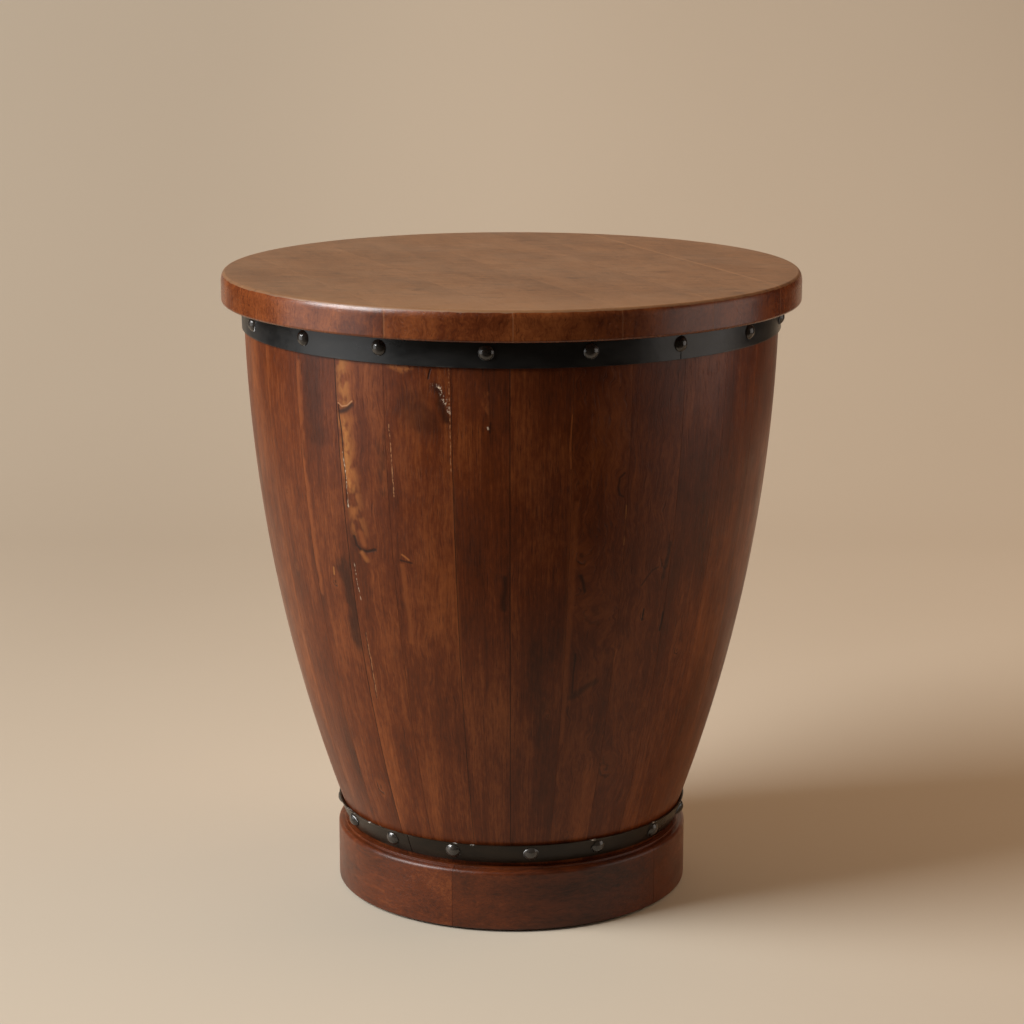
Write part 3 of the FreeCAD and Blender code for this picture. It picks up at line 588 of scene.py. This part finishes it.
bearing = FIRST_STAVE_JOINT
staves_round = len(STAVE_WIDTH_SHARES)
for board, share in enumerate(STAVE_WIDTH_SHARES, start=1):
    width = 360 * share / sum(STAVE_WIDTH_SHARES)
    middle = (bearing + width / 2 + 180) % 360 - 180
    stave = copy_of(stave_profile, f"dressed_stave_{board:02d}")
    sweep_round(stave, bearing, width, STAVE_STEPS)
    ease_edges(stave, STAVE_EASE)
    lay_round(stave, middle)
    wear = [JOINT_WEAR.get(joint, COMMON_WEAR) for joint in (board, board % staves_round + 1)]
    finish = stave_wood(
        f"stave_wood_{board:02d}", board, STAVE_TONES[board - 1],
        (middle - width / 2, middle + width / 2), wear, STAVE_CURLS.get(board, COMMON_CURL),
        STAVE_KNOTS.get(board, ()), STAVE_MARKS.get(board, ()))
    seat(stave, finish, f"stave_{board:02d}")
    bearing += width
bpy.data.objects.remove(stave_profile)


# Bottom head
# Three plain pine boards with a bevelled rim, whose tongue sits in the croze of the staves. They
# are left raw, and only their underside shows, through the ring of the plinth.

def object_place(tree):
    """Place on a piece along the table's own axes, in metres."""
    return add_node(tree, "ShaderNodeTexCoord").outputs["Object"]


def turn_place(tree, place, turn):
    """The place on a piece that is turned by an angle about the table's axis."""
    sockets = {"Vector": place, "Rotation": (0, 0, math.radians(turn))}
    return add_node(tree, "ShaderNodeMapping", sockets).outputs[0]


def raw_wood(name, turn, tint):
    """Planed, unstained wood with its grain turned by an angle."""
    material, tree = new_material(name)
    place = object_place(tree)
    dark, middle, light = [[channel * share for channel in tint] + [1] for share in (0.6, 1, 1.2)]
    grain = place_group(
        tree, stained_grain, Vector=turn_place(tree, place, turn), Board=3.0, Curl=0.1, Tone=0.55,
        Contrast=0.8, Dark=dark, Middle=middle, Light=light)
    roughness = spread(tree, noise(tree, place, (20, 20, 20), 3), 0.3, 0.7, 0.6, 0.75)
    finish_surface(
        tree, grain["Colour"], roughness, grain["Height"], strength=0.4, depth=0.0004)
    return material


def refinish(node, material):
    """Give a CAD node that stays as it is a better material."""
    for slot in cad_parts[node].material_slots:
        slot.material = material


HEAD_TURN = -23
PINE = (0.40, 0.25, 0.13)
head_wood = raw_wood("head_board_wood", HEAD_TURN, PINE)
for count in (1, 2, 3):
    refinish(f"head_board_{count}", head_wood)


# Iron hoops
# Two bands of 2 mm iron, blackened and waxed, pulled up round the body and nailed. The ends of
# each meet in a fine slit, which is under a nail on the upper one, and the top rim of the lower
# one stands a little off the staves.

HOOP_THICKNESS = 0.002
HOOP_GAP = 0.0002
HOOP_SLIT = 0.0004
HOOP_EASE = 0.0004
HOOP_STEPS = 220
UPPER_HOOP_SPAN = (0.5088, 0.5316)
LOWER_HOOP_SPAN = (0.0609, 0.0785)
UPPER_FLARE = 0
LOWER_FLARE = 0.0007
UPPER_SLIT_BEARING = 35.55
LOWER_SLIT_BEARING = -35.3
# The darkest and the lightest of the blackening, and how much it shines
UPPER_BLACKING = ((0.008, 0.0088, 0.0095, 1), (0.018, 0.0185, 0.0185, 1), 0.5)
LOWER_BLACKING = ((0.008, 0.0050, 0.0028, 1), (0.020, 0.0130, 0.0078, 1), 0.3)
# Shifts that give each hoop clouds and dents of its own
UPPER_SHIFT = 1.3
LOWER_SHIFT = 4.1
RUBBED_IRON = (0.10, 0.085, 0.07, 1)
# Pale specks at a hoop's top edge: bare steel, and painted glints
BARE_STEEL_GLINT = (0.55, 0.52, 0.48, 1)


def black_iron(name, span, shift, blacking):
    """Blackened iron, rubbed brown along both edges, and pale specks at the top one: bare steel and
    painted glints.
    """
    dark, light, shine = blacking
    material, tree = new_material(name)
    place = object_place(tree)
    height = split(tree, place)[2]
    shifted = reckon_place(tree, "ADD", place, (shift, shift, shift))
    clouds = noise(tree, shifted, (22, 22, 60), 5, 0.6)
    specks = noise(tree, shifted, (420, 420, 900), 2)
    dents = noise(tree, shifted, (70, 70, 90), 2)
    from_foot = reckon(tree, "SUBTRACT", height, span[0])
    from_top = reckon(tree, "SUBTRACT", span[1], height)
    near_edge = spread(tree, reckon(tree, "MINIMUM", from_foot, from_top), 0.0002, 0.0016, 1, 0)
    worn = times(tree, near_edge, spread(tree, clouds, 0.54, 0.66))
    # Specks along the top edge, painted pale as bare steel and as glints
    steel_glints = times(
        tree, spread(tree, from_top, 0.0002, 0.0012, 1, 0),
        spread(tree, noise(tree, shifted, (110, 110, 110), 3), 0.62, 0.68))
    colour = blend_colours(tree, spread(tree, clouds, 0.35, 0.7), dark, light)
    colour = blend_colours(tree, times(tree, worn, 0.4), colour, RUBBED_IRON)
    colour = blend_colours(tree, steel_glints, colour, BARE_STEEL_GLINT)
    roughness = spread(tree, clouds, 0.3, 0.7, 0.27, 0.38)
    relief = reckon(tree, "MULTIPLY_ADD", specks, 0.12, dents)
    finish_surface(
        tree, colour, roughness, relief, strength=0.25, depth=0.0008, shine=shine, metal=0.2)
    return material


def hoop_radii(span, flare):
    """Inner radius of a hoop at its foot and at its top."""
    return body_radius(span[0]) + HOOP_GAP, body_radius(span[1]) + HOOP_GAP + flare


def bend_hoop(name, span, flare, slit_bearing):
    """Flat strip, leaned to the slope of the staves and spun round to its slit."""
    foot_radius, top_radius = hoop_radii(span, flare)
    hoop = profile_plate(foot_radius, foot_radius + HOOP_THICKNESS, *span)
    hoop.name = name
    hoop.data.name = name
    pick(hoop, "VERT", lambda corner: corner.z > sum(span) / 2)
    bpy.ops.transform.translate(value=(top_radius - foot_radius, 0, 0))
    bpy.ops.object.mode_set(mode="OBJECT")
    slit = math.degrees(HOOP_SLIT / foot_radius)
    sweep_round(hoop, slit_bearing + slit, 360 - slit, HOOP_STEPS)
    ease_edges(hoop, HOOP_EASE)
    return hoop


upper_hoop = bend_hoop("dressed_upper_hoop", UPPER_HOOP_SPAN, UPPER_FLARE, UPPER_SLIT_BEARING)
upper_iron = black_iron("upper_hoop_iron", UPPER_HOOP_SPAN, UPPER_SHIFT, UPPER_BLACKING)
seat(upper_hoop, upper_iron, "upper_hoop")
lower_hoop = bend_hoop("dressed_lower_hoop", LOWER_HOOP_SPAN, LOWER_FLARE, LOWER_SLIT_BEARING)
lower_iron = black_iron("lower_hoop_iron", LOWER_HOOP_SPAN, LOWER_SHIFT, LOWER_BLACKING)
seat(lower_hoop, lower_iron, "lower_hoop")


# Hoop nails
# Hand-forged nails with a round shank and a domed head, driven through the hoops into the
# staves: 17 above and 15 below. Their heads are blackened too, and glossy.

NAIL_HEAD = 0.0068
NAIL_RISE = 0.0042
NAIL_SHANK = 0.0015
NAIL_LENGTH = 0.017
NAIL_POINT = 0.005
NAIL_TIP_SHARE = 0.1
NAIL_SEGMENTS = 28
NAIL_RINGS = 26
NAIL_EASE = 0.0004
# Radians that each nail is turned on from the last, so that their dents differ
NAIL_ROLL = 2.4
UPPER_NAIL_HEIGHT = 0.5218
LOWER_NAIL_HEIGHT = 0.0705
FIRST_UPPER_NAIL = -4.9
FIRST_LOWER_NAIL = 6.3
UPPER_NAIL_SHARES = (
    0.97, 0.94, 1.01, 0.99, 1.02, 1.0, 1.01, 1.02, 1.0, 1.01, 1.0, 1.02, 1.01, 1.02, 1.02, 0.92,
    1.04,
)
LOWER_NAIL_SHARES = (
    0.95, 1.03, 1.04, 1.0, 0.99, 1.01, 1.0, 0.99, 1.01, 1.0, 0.99, 1.01, 0.95, 0.97, 1.06,
)
NAIL_DARK = (0.012, 0.011, 0.010, 1)
NAIL_LIGHT = (0.040, 0.034, 0.029, 1)

nail_iron, tree = new_material("forged_nail_iron")
place = object_place(tree)
clouds = noise(tree, place, (120, 120, 120), 4, 0.6)
dents = noise(tree, place, (170, 170, 170), 1)
finish_surface(
    tree, blend_colours(tree, spread(tree, clouds, 0.35, 0.65), NAIL_DARK, NAIL_LIGHT),
    spread(tree, clouds, 0.3, 0.7, 0.13, 0.20), dents, strength=0.2, depth=0.0010, shine=0.6)

dome_radius = (NAIL_HEAD ** 2 + NAIL_RISE ** 2) / (2 * NAIL_RISE)
bpy.ops.mesh.primitive_uv_sphere_add(
    segments=NAIL_SEGMENTS, ring_count=NAIL_RINGS, radius=dome_radius,
    location=(0, 0, NAIL_RISE - dome_radius))
nail = bpy.context.active_object
bpy.ops.object.transform_apply(location=True, rotation=True, scale=True)
bpy.ops.object.mode_set(mode="EDIT")
slice_piece((0, 0, 0), (0, 0, 1), clear_inner=True)
pick(nail, "EDGE", lambda middle: middle.z < WELD)
bpy.ops.mesh.extrude_region_move()
shrink = NAIL_SHANK / NAIL_HEAD
bpy.ops.transform.resize(value=(shrink, shrink, 1))
extrude(NAIL_POINT - NAIL_LENGTH)
extrude(-NAIL_POINT)
bpy.ops.transform.resize(value=(NAIL_TIP_SHARE, NAIL_TIP_SHARE, 1))
bpy.ops.mesh.edge_face_add()
bpy.ops.mesh.select_all(action="SELECT")
bpy.ops.mesh.normals_make_consistent(inside=False)
bpy.ops.object.mode_set(mode="OBJECT")
ease_edges(nail, NAIL_EASE)


def drive_nails(name, first, shares, height, span, flare):
    """One copy of the nail at each place round a hoop, joined as one group."""
    foot_radius, top_radius = hoop_radii(span, flare)
    slope = (top_radius - foot_radius) / (span[1] - span[0])
    out = foot_radius + HOOP_THICKNESS + slope * (height - span[0])
    tilt = Matrix.Rotation(math.radians(90) + math.atan(slope), 4, "Y")
    copies = []
    bearing = first
    for count, share in enumerate(shares):
        driven = copy_of(nail, f"{name}_{count}")
        roll = Matrix.Rotation(count * NAIL_ROLL, 4, "Z")
        swing_round = Matrix.Rotation(math.radians(bearing + FRONT), 4, "Z")
        driven.matrix_world = swing_round @ Matrix.Translation((out, 0, height)) @ tilt @ roll
        copies.append(driven)
        bearing += 360 * share / sum(shares)
    bpy.ops.object.select_all(action="DESELECT")
    for driven in copies:
        driven.select_set(True)
    bpy.context.view_layer.objects.active = copies[0]
    bpy.ops.object.transform_apply(location=True, rotation=True, scale=True)
    bpy.ops.object.join()
    group = bpy.context.active_object
    group.name = name
    group.data.name = name
    return group


upper_nails = drive_nails(
    "dressed_upper_nails", FIRST_UPPER_NAIL, UPPER_NAIL_SHARES, UPPER_NAIL_HEIGHT, UPPER_HOOP_SPAN,
    UPPER_FLARE)
seat(upper_nails, nail_iron, "upper_nails")
lower_nails = drive_nails(
    "dressed_lower_nails", FIRST_LOWER_NAIL, LOWER_NAIL_SHARES, LOWER_NAIL_HEIGHT, LOWER_HOOP_SPAN,
    LOWER_FLARE)
seat(lower_nails, nail_iron, "lower_nails")
bpy.data.objects.remove(nail)


# Plinth
# A ring of five segments sawn from straight boards, so the grain runs level and crosses each one
# as a chord. The shoulder is rounded and steps up to a thin lip, and a rebate inside it takes the
# feet of the staves.

PLINTH_BORE = 0.11559
PLINTH_WALL = 0.14686
PLINTH_LIP = 0.15186
PLINTH_RADIUS = 0.15786
PLINTH_FOOT = 0.002
PLINTH_STEP = 0.0552
PLINTH_TOP = 0.057
SHOULDER_ROUND = 0.0035
PLINTH_FOOT_ROUND = 0.0015
PLINTH_ROUND_STEPS = 8
FIRST_PLINTH_JOINT = -19
SEGMENT_WIDTH = 72
SEGMENT_STEPS = 26
SEGMENT_EASE = 0.0004
# From the front's segment on, to the right. The board numbers go on from the staves'.
SEGMENT_TONES = (0.28, 0.38, 0.50, 0.47, 0.43)
FIRST_PLINTH_BOARD = 40


def plinth_wood(name, board, tone, turn):
    """Stained acacia with its grain level, along the chord of one segment."""
    material, tree = new_material(name)
    place = object_place(tree)
    along, out, up = split(tree, turn_place(tree, place, -turn))
    grain = stained_acacia(
        tree, Vector=join(tree, up, along, out), Board=board, Curl=0.3, Tone=tone, Contrast=0.95)
    roughness = spread(tree, noise(tree, place, (16, 16, 24), 4, 0.6), 0.3, 0.7, 0.28, 0.42)
    finish_surface(
        tree, grain["Colour"], roughness, grain["Height"], strength=0.35, depth=0.0005, shine=0.35)
    return material


plinth_profile = profile_plate(PLINTH_BORE, PLINTH_RADIUS, PLINTH_FOOT, STAVE_FOOT)
bpy.ops.object.mode_set(mode="EDIT")
slice_piece((PLINTH_WALL, 0, 0), (1, 0, 0))
slice_piece((PLINTH_LIP, 0, 0), (1, 0, 0))
for foot, rim, outside in (
        (STAVE_FOOT, PLINTH_STEP, PLINTH_RADIUS), (PLINTH_STEP, PLINTH_TOP, PLINTH_LIP)):
    pick(plinth_profile, "EDGE", lambda middle: (
        abs(middle.z - foot) < NEAR and PLINTH_WALL < middle.x < outside))
    extrude(rim - foot)
for corner_height, rounding in ((PLINTH_STEP, SHOULDER_ROUND), (PLINTH_FOOT, PLINTH_FOOT_ROUND)):
    pick(plinth_profile, "VERT", lambda corner: (
        abs(corner.z - corner_height) < NEAR and corner.x > PLINTH_RADIUS - NEAR))
    bpy.ops.mesh.bevel(offset=rounding, segments=PLINTH_ROUND_STEPS, affect="VERTICES")
bpy.ops.object.mode_set(mode="OBJECT")

for count, tone in enumerate(SEGMENT_TONES):
    start = FIRST_PLINTH_JOINT + count * SEGMENT_WIDTH
    segment = copy_of(plinth_profile, f"dressed_plinth_{count + 1}")
    sweep_round(segment, start, SEGMENT_WIDTH, SEGMENT_STEPS)
    ease_edges(segment, SEGMENT_EASE)
    turn = start + SEGMENT_WIDTH / 2
    finish = plinth_wood(f"plinth_wood_{count + 1}", FIRST_PLINTH_BOARD + count, tone, turn)
    seat(segment, finish, f"plinth_segment_{count + 1}")
bpy.data.objects.remove(plinth_profile)


# Dowels, screws and glides
# Beech dowels hold the joints of the plinth ring, zinced wood screws go up through its ledge
# into the staves, and five nylon glides are driven in under it.

BEECH = (0.55, 0.38, 0.22)
ZINC_DARK = (0.42, 0.42, 0.40, 1)
ZINC_LIGHT = (0.60, 0.59, 0.55, 1)
NYLON_DARK = (0.035, 0.028, 0.022, 1)
NYLON_LIGHT = (0.075, 0.062, 0.050, 1)

refinish("plinth_dowels", raw_wood("dowel_beech", 0, BEECH))

screw_steel, tree = new_material("zinced_steel")
clouds = noise(tree, object_place(tree), (300, 300, 300), 3, 0.6)
finish_surface(
    tree, blend_colours(tree, spread(tree, clouds, 0.3, 0.7), ZINC_DARK, ZINC_LIGHT),
    spread(tree, clouds, 0.3, 0.7, 0.3, 0.45), clouds, strength=0.15, depth=0.0002, metal=1)
refinish("plinth_screws", screw_steel)
refinish("top_screws", screw_steel)

glide_nylon, tree = new_material("moulded_nylon")
place = object_place(tree)
scuffs = noise(tree, place, (60, 240, 60), 4, 0.65)
grit = noise(tree, place, (900, 900, 900), 2)
finish_surface(
    tree, blend_colours(tree, spread(tree, scuffs, 0.45, 0.7), NYLON_DARK, NYLON_LIGHT),
    spread(tree, scuffs, 0.4, 0.7, 0.45, 0.62), grit, strength=0.2, depth=0.0002)
refinish("floor_glides", glide_nylon)


# Round top
# Six acacia planks, glued edge to edge and sawn round, eased at the top rim and a little under
# it. A plain ring glued in the mouth of the body takes the screws that hold the top down.

RING_TURN = 40
RING_PINE = (0.36, 0.22, 0.12)
refinish("top_ring", raw_wood("top_ring_wood", RING_TURN, RING_PINE))

TOP_RADIUS = 0.254
TOP_THICKNESS = 0.026
TABLE_HEIGHT = 0.558
TOP_SIDES = 224
UPPER_ROUND = 0.004
UPPER_ROUND_STEPS = 9
LOWER_ROUND = 0.0025
LOWER_ROUND_STEPS = 5
PLANK_EASE = 0.0003
PLANK_WIDTH = 0.0865
PLANK_SHIFT = -0.0116
PLANK_TURN = 23
# From the left plank on. The board numbers go on from the plinth's.
PLANK_TONES = (0.64, 0.57, 0.70, 0.62, 0.60, 0.60)
FIRST_PLANK_BOARD = 60
# How pale the face is rubbed along a joint: hardly at all, but for the last plank's
FAINT_SEAM = 0.08
WORN_SEAM = 0.5
# The face's colours are paler and greyer than the rim's: rubbed wood, with a painted sheen in them
FACE_DARK = (0.070, 0.033, 0.015, 1)
FACE_MIDDLE = (0.157, 0.075, 0.032, 1)
FACE_LIGHT = (0.228, 0.115, 0.051, 1)
FACE_PALE = (0.30, 0.155, 0.070, 1)
# The look of the face ends on the rounding, and the face is painted paler toward its front edge, as
# wear and as a painted sheen
FACE_END = 0.5570
FRONT_WEAR_AND_SHEEN = (-0.14, -0.245)
# Chips of the rim fade in between these two heights, down to its lower edge
CHIPPED_EDGE = (0.5350, 0.5325)


def top_wood(name, board, tone, edges, seam):
    """Stained plank: rubbed dull on the face and tan with a painted sheen, red and glossy on the
    sawn rim.
    """
    material, tree = new_material(name)
    place = object_place(tree)
    turned = turn_place(tree, place, -PLANK_TURN)
    aside, forward, height = split(tree, place)
    across = split(tree, turned)[0]
    from_joint = reckon(
        tree, "MINIMUM",
        *[reckon(tree, "ABSOLUTE", reckon(tree, "SUBTRACT", across, edge)) for edge in edges])
    # Face: weak grain with dark and pale scuffs across it, smudges, and a front edge painted paler,
    # as wear and sheen
    face = place_group(
        tree, stained_grain, Vector=turned, Board=board, Curl=0.6, Tone=0.5, Contrast=0.75,
        Dark=FACE_DARK, Middle=FACE_MIDDLE, Light=FACE_LIGHT)
    face_colour = face["Colour"]
    scuffs = noise(tree, place, (34, 210, 20), 4, 0.75)
    smudges = noise(tree, place, (24, 40, 20), 3, 0.6)
    for spots, low, high, share, paint in (
            (scuffs, 0.54, 0.68, 0.8, FACE_DARK), (scuffs, 0.46, 0.32, 0.6, FACE_LIGHT),
            (smudges, 0.62, 0.76, 0.75, FACE_DARK), (forward, *FRONT_WEAR_AND_SHEEN, 0.55, FACE_LIGHT)):
        cover = times(tree, spread(tree, spots, low, high), share)
        face_colour = blend_colours(tree, cover, face_colour, paint)
    glued = times(tree, spread(tree, from_joint, 0.0008, 0.0022, 1, 0), seam)
    face_colour = blend_colours(tree, glued, face_colour, FACE_PALE)
    # Rim: upright grain, pale hairlines at the joints, and flecks chipped from its lower edge
    rim = stained_acacia(
        tree, Vector=join(tree, aside, times(tree, height, 2.5), forward), Board=board, Curl=0.4,
        Tone=tone, Contrast=1.1)
    hairline = times(tree, spread(tree, from_joint, 0.0002, 0.0007, 1, 0), 0.28)
    rim_colour = blend_colours(tree, hairline, rim["Colour"], RUBBED_EDGE_AND_GLINT)
    chips = spread(tree, noise(tree, place, (150, 150, 420), 3, 0.7), 0.66, 0.70)
    chips = times(tree, chips, spread(tree, height, *CHIPPED_EDGE))
    rim_colour = blend_colours(tree, chips, rim_colour, RUBBED_EDGE_AND_GLINT)
    # The line between the two wobbles a little
    wobble = noise(tree, place, (90, 90, 20), 2)
    rim_start = reckon(tree, "MULTIPLY_ADD", wobble, -0.0016, FACE_END)
    on_rim = spread(tree, reckon(tree, "SUBTRACT", rim_start, height), -0.0002, 0.0003)
    colour = blend_colours(tree, on_rim, face_colour, rim_colour)
    dull = spread(tree, noise(tree, place, (12, 12, 12), 4, 0.6), 0.3, 0.7, 0.42, 0.52)
    roughness = times(tree, dull, reckon(tree, "SUBTRACT", 1, times(tree, on_rim, 0.45)))
    finish_surface(
        tree, colour, roughness, face["Height"], strength=0.3, depth=0.0004, shine=0.45)
    return material


bpy.ops.mesh.primitive_cylinder_add(
    vertices=TOP_SIDES, radius=TOP_RADIUS, depth=TOP_THICKNESS,
    location=(0, 0, TABLE_HEIGHT - TOP_THICKNESS / 2))
top_blank = bpy.context.active_object
bpy.ops.object.transform_apply(location=True, rotation=True, scale=True)
for rim_height, rounding, steps in (
        (TABLE_HEIGHT, UPPER_ROUND, UPPER_ROUND_STEPS),
        (TABLE_HEIGHT - TOP_THICKNESS, LOWER_ROUND, LOWER_ROUND_STEPS)):
    pick(top_blank, "EDGE", lambda middle: abs(middle.z - rim_height) < NEAR)
    bpy.ops.mesh.bevel(offset=rounding, segments=steps, affect="EDGES")
# The top edge is worn on its outer side, so the rounding runs twice as far down as in
pick(top_blank, "VERT", lambda corner: corner.z > TABLE_HEIGHT - UPPER_ROUND - NEAR)
bpy.ops.transform.resize(value=(1, 1, 2), center_override=(0, 0, TABLE_HEIGHT))
bpy.ops.object.mode_set(mode="OBJECT")

across = Matrix.Rotation(math.radians(PLANK_TURN), 3, "Z") @ Vector((1, 0, 0))
joints = [PLANK_SHIFT + step * PLANK_WIDTH for step in range(-2, 3)]
for count, tone in enumerate(PLANK_TONES):
    plank = copy_of(top_blank, f"dressed_top_plank_{count + 1}")
    bpy.ops.object.mode_set(mode="EDIT")
    if count > 0:
        slice_piece(across * joints[count - 1], across, clear_inner=True, use_fill=True)
    if count < len(joints):
        slice_piece(across * joints[count], across, clear_outer=True, use_fill=True)
    bpy.ops.object.mode_set(mode="OBJECT")
    ease_edges(plank, PLANK_EASE)
    edges = [joints[max(count - 1, 0)], joints[min(count, len(joints) - 1)]]
    seam = WORN_SEAM if count == len(joints) else FAINT_SEAM
    finish = top_wood(f"top_wood_{count + 1}", FIRST_PLANK_BOARD + count, tone, edges, seam)
    seat(plank, finish, f"top_plank_{count + 1}")
bpy.data.objects.remove(top_blank)


# Studio
# A seamless beige paper sweep in a dark room, lit by a large key lamp at the front left. A warm
# bounce from above and a warm light on the right lift the dark side and show in no varnish, and a
# low panel on each side gives the body its sheen.

STAGE_WIDTH = 9
STAGE_NEAR = -4.5
STAGE_FAR = 2.6
STAGE_HEIGHT = 4
STAGE_BEND = 1.3
STAGE_BEND_STEPS = 24
NEAR_PAPER = (0.480, 0.430, 0.350, 1)
NEAR_RIGHT_PAPER_SHADED = (0.425, 0.378, 0.306, 1)
FAR_PAPER_SHADED = (0.416, 0.367, 0.294, 1)
# Painted shade on the paper: shares of its colour at the left, under the key lamp, and in its
# mottle
LEFT_SHADE = (0.865, 0.865, 0.865, 1)
MOTTLE_SHADE = (0.96, 0.95, 0.94, 1)
DARK_ROOM = (0.03, 0.022, 0.015, 1)
AIR_COLOUR = (1, 0.72, 0.48, 1)
AIR_LIGHT = 0.05
LAMP_TARGET = Vector((0, 0, 0.3))
# Name, bearing, rise, distance, size, watts, colour, and whether the varnish mirrors it
LAMPS = (
    ("key_lamp", -71, 35, 4.6, 2.5, 362, (1, 0.985, 0.97), True),
    ("ceiling_bounce", 180, 68, 3.2, 3, 33, (1, 0.57, 0.30), False),
    ("side_light", 104, 26, 2.4, 1.8, 22, (1, 0.67, 0.43), False),
    ("right_panel", 79, 3, 1.7, 1.36, 7.0, (1, 0.90, 0.82), True),
    ("left_panel", -72, 3, 1.6, 1.2, 6.9, (1, 0.99, 0.98), True),
)
CAMERA_PLACE = (0, -2.4, 0.885)
CAMERA_DROP = 12.845
CAMERA_LENS = 96.68
CAMERA_SENSOR = 36
CAMERA_SHIFT = 0.0005

bpy.ops.mesh.primitive_plane_add(size=1, location=(0, (STAGE_NEAR + STAGE_FAR) / 2, 0))
sweep = bpy.context.active_object
sweep.name = "paper_sweep"
sweep.scale = (STAGE_WIDTH, STAGE_FAR - STAGE_NEAR, 1)
bpy.ops.object.transform_apply(location=True, rotation=True, scale=True)
pick(sweep, "EDGE", lambda middle: middle.y > STAGE_FAR - NEAR)
extrude(STAGE_HEIGHT)
pick(sweep, "EDGE", lambda middle: middle.y > STAGE_FAR - NEAR and middle.z < NEAR)
bpy.ops.mesh.bevel(offset=STAGE_BEND, segments=STAGE_BEND_STEPS, affect="EDGES")
bpy.ops.object.mode_set(mode="OBJECT")
bpy.ops.object.shade_smooth()

paper, tree = new_material("beige_paper")
place = object_place(tree)
aside, depth = split(tree, place)[:2]
# Painted shade: the near paper darkens to the right, all of it toward the back, and then to the
# left
colour = blend_colours(tree, spread(tree, aside, 0.05, 0.5), NEAR_PAPER, NEAR_RIGHT_PAPER_SHADED)
colour = blend_colours(tree, spread(tree, depth, -0.4, 1.2), colour, FAR_PAPER_SHADED)
colour = blend_colours(tree, spread(tree, aside, 0.05, -0.6), colour, LEFT_SHADE, "MULTIPLY")
mottle = spread(tree, noise(tree, place, (1.2, 1.2, 1.2), 3), 0.3, 0.7, 0, 0.5)
colour = blend_colours(tree, mottle, colour, MOTTLE_SHADE, "MULTIPLY")
# Out of the picture the room is dark: only the camera sees the paper go on there
camera_ray = add_node(tree, "ShaderNodeLightPath").outputs["Is Camera Ray"]
sideways = spread(tree, reckon(tree, "ABSOLUTE", aside), 1.1, 1.7)
outside = reckon(tree, "MAXIMUM", sideways, spread(tree, depth, -0.4, -0.75))
room = times(tree, reckon(tree, "SUBTRACT", 1, camera_ray), outside)
colour = blend_colours(tree, room, colour, DARK_ROOM)
shader = tree.nodes["Principled BSDF"].inputs
feed(tree, shader["Base Color"], colour)
shader["Roughness"].default_value = 0.9
shader["Specular IOR Level"].default_value = 0.1
sweep.data.materials.append(paper)

for name, bearing, rise, away, size, watts, tint, mirrored in LAMPS:
    flat = math.cos(math.radians(rise)) * away
    lamp = bpy.data.lights.new(name, "AREA")
    lamp.shape = "SQUARE"
    lamp.size = size
    lamp.energy = watts
    lamp.color = tint
    holder = bpy.data.objects.new(name, lamp)
    bpy.context.scene.collection.objects.link(holder)
    holder.location = LAMP_TARGET + Vector((
        math.sin(math.radians(bearing)) * flat, -math.cos(math.radians(bearing)) * flat,
        math.sin(math.radians(rise)) * away))
    holder.rotation_euler = (LAMP_TARGET - holder.location).to_track_quat("-Z", "Y").to_euler()
    holder.visible_camera = False
    holder.visible_glossy = mirrored

world = bpy.data.worlds.new("studio_air")
bpy.context.scene.world = world
world.use_nodes = True
air = world.node_tree.nodes["Background"].inputs
air["Color"].default_value = AIR_COLOUR
air["Strength"].default_value = AIR_LIGHT

camera = bpy.data.cameras.new("photo_camera")
camera.lens = CAMERA_LENS
camera.sensor_width = CAMERA_SENSOR
camera.shift_x = CAMERA_SHIFT
viewer = bpy.data.objects.new("photo_camera", camera)
bpy.context.scene.collection.objects.link(viewer)
viewer.location = CAMERA_PLACE
viewer.rotation_euler = (math.radians(90 - CAMERA_DROP), 0, 0)
bpy.context.scene.camera = viewer
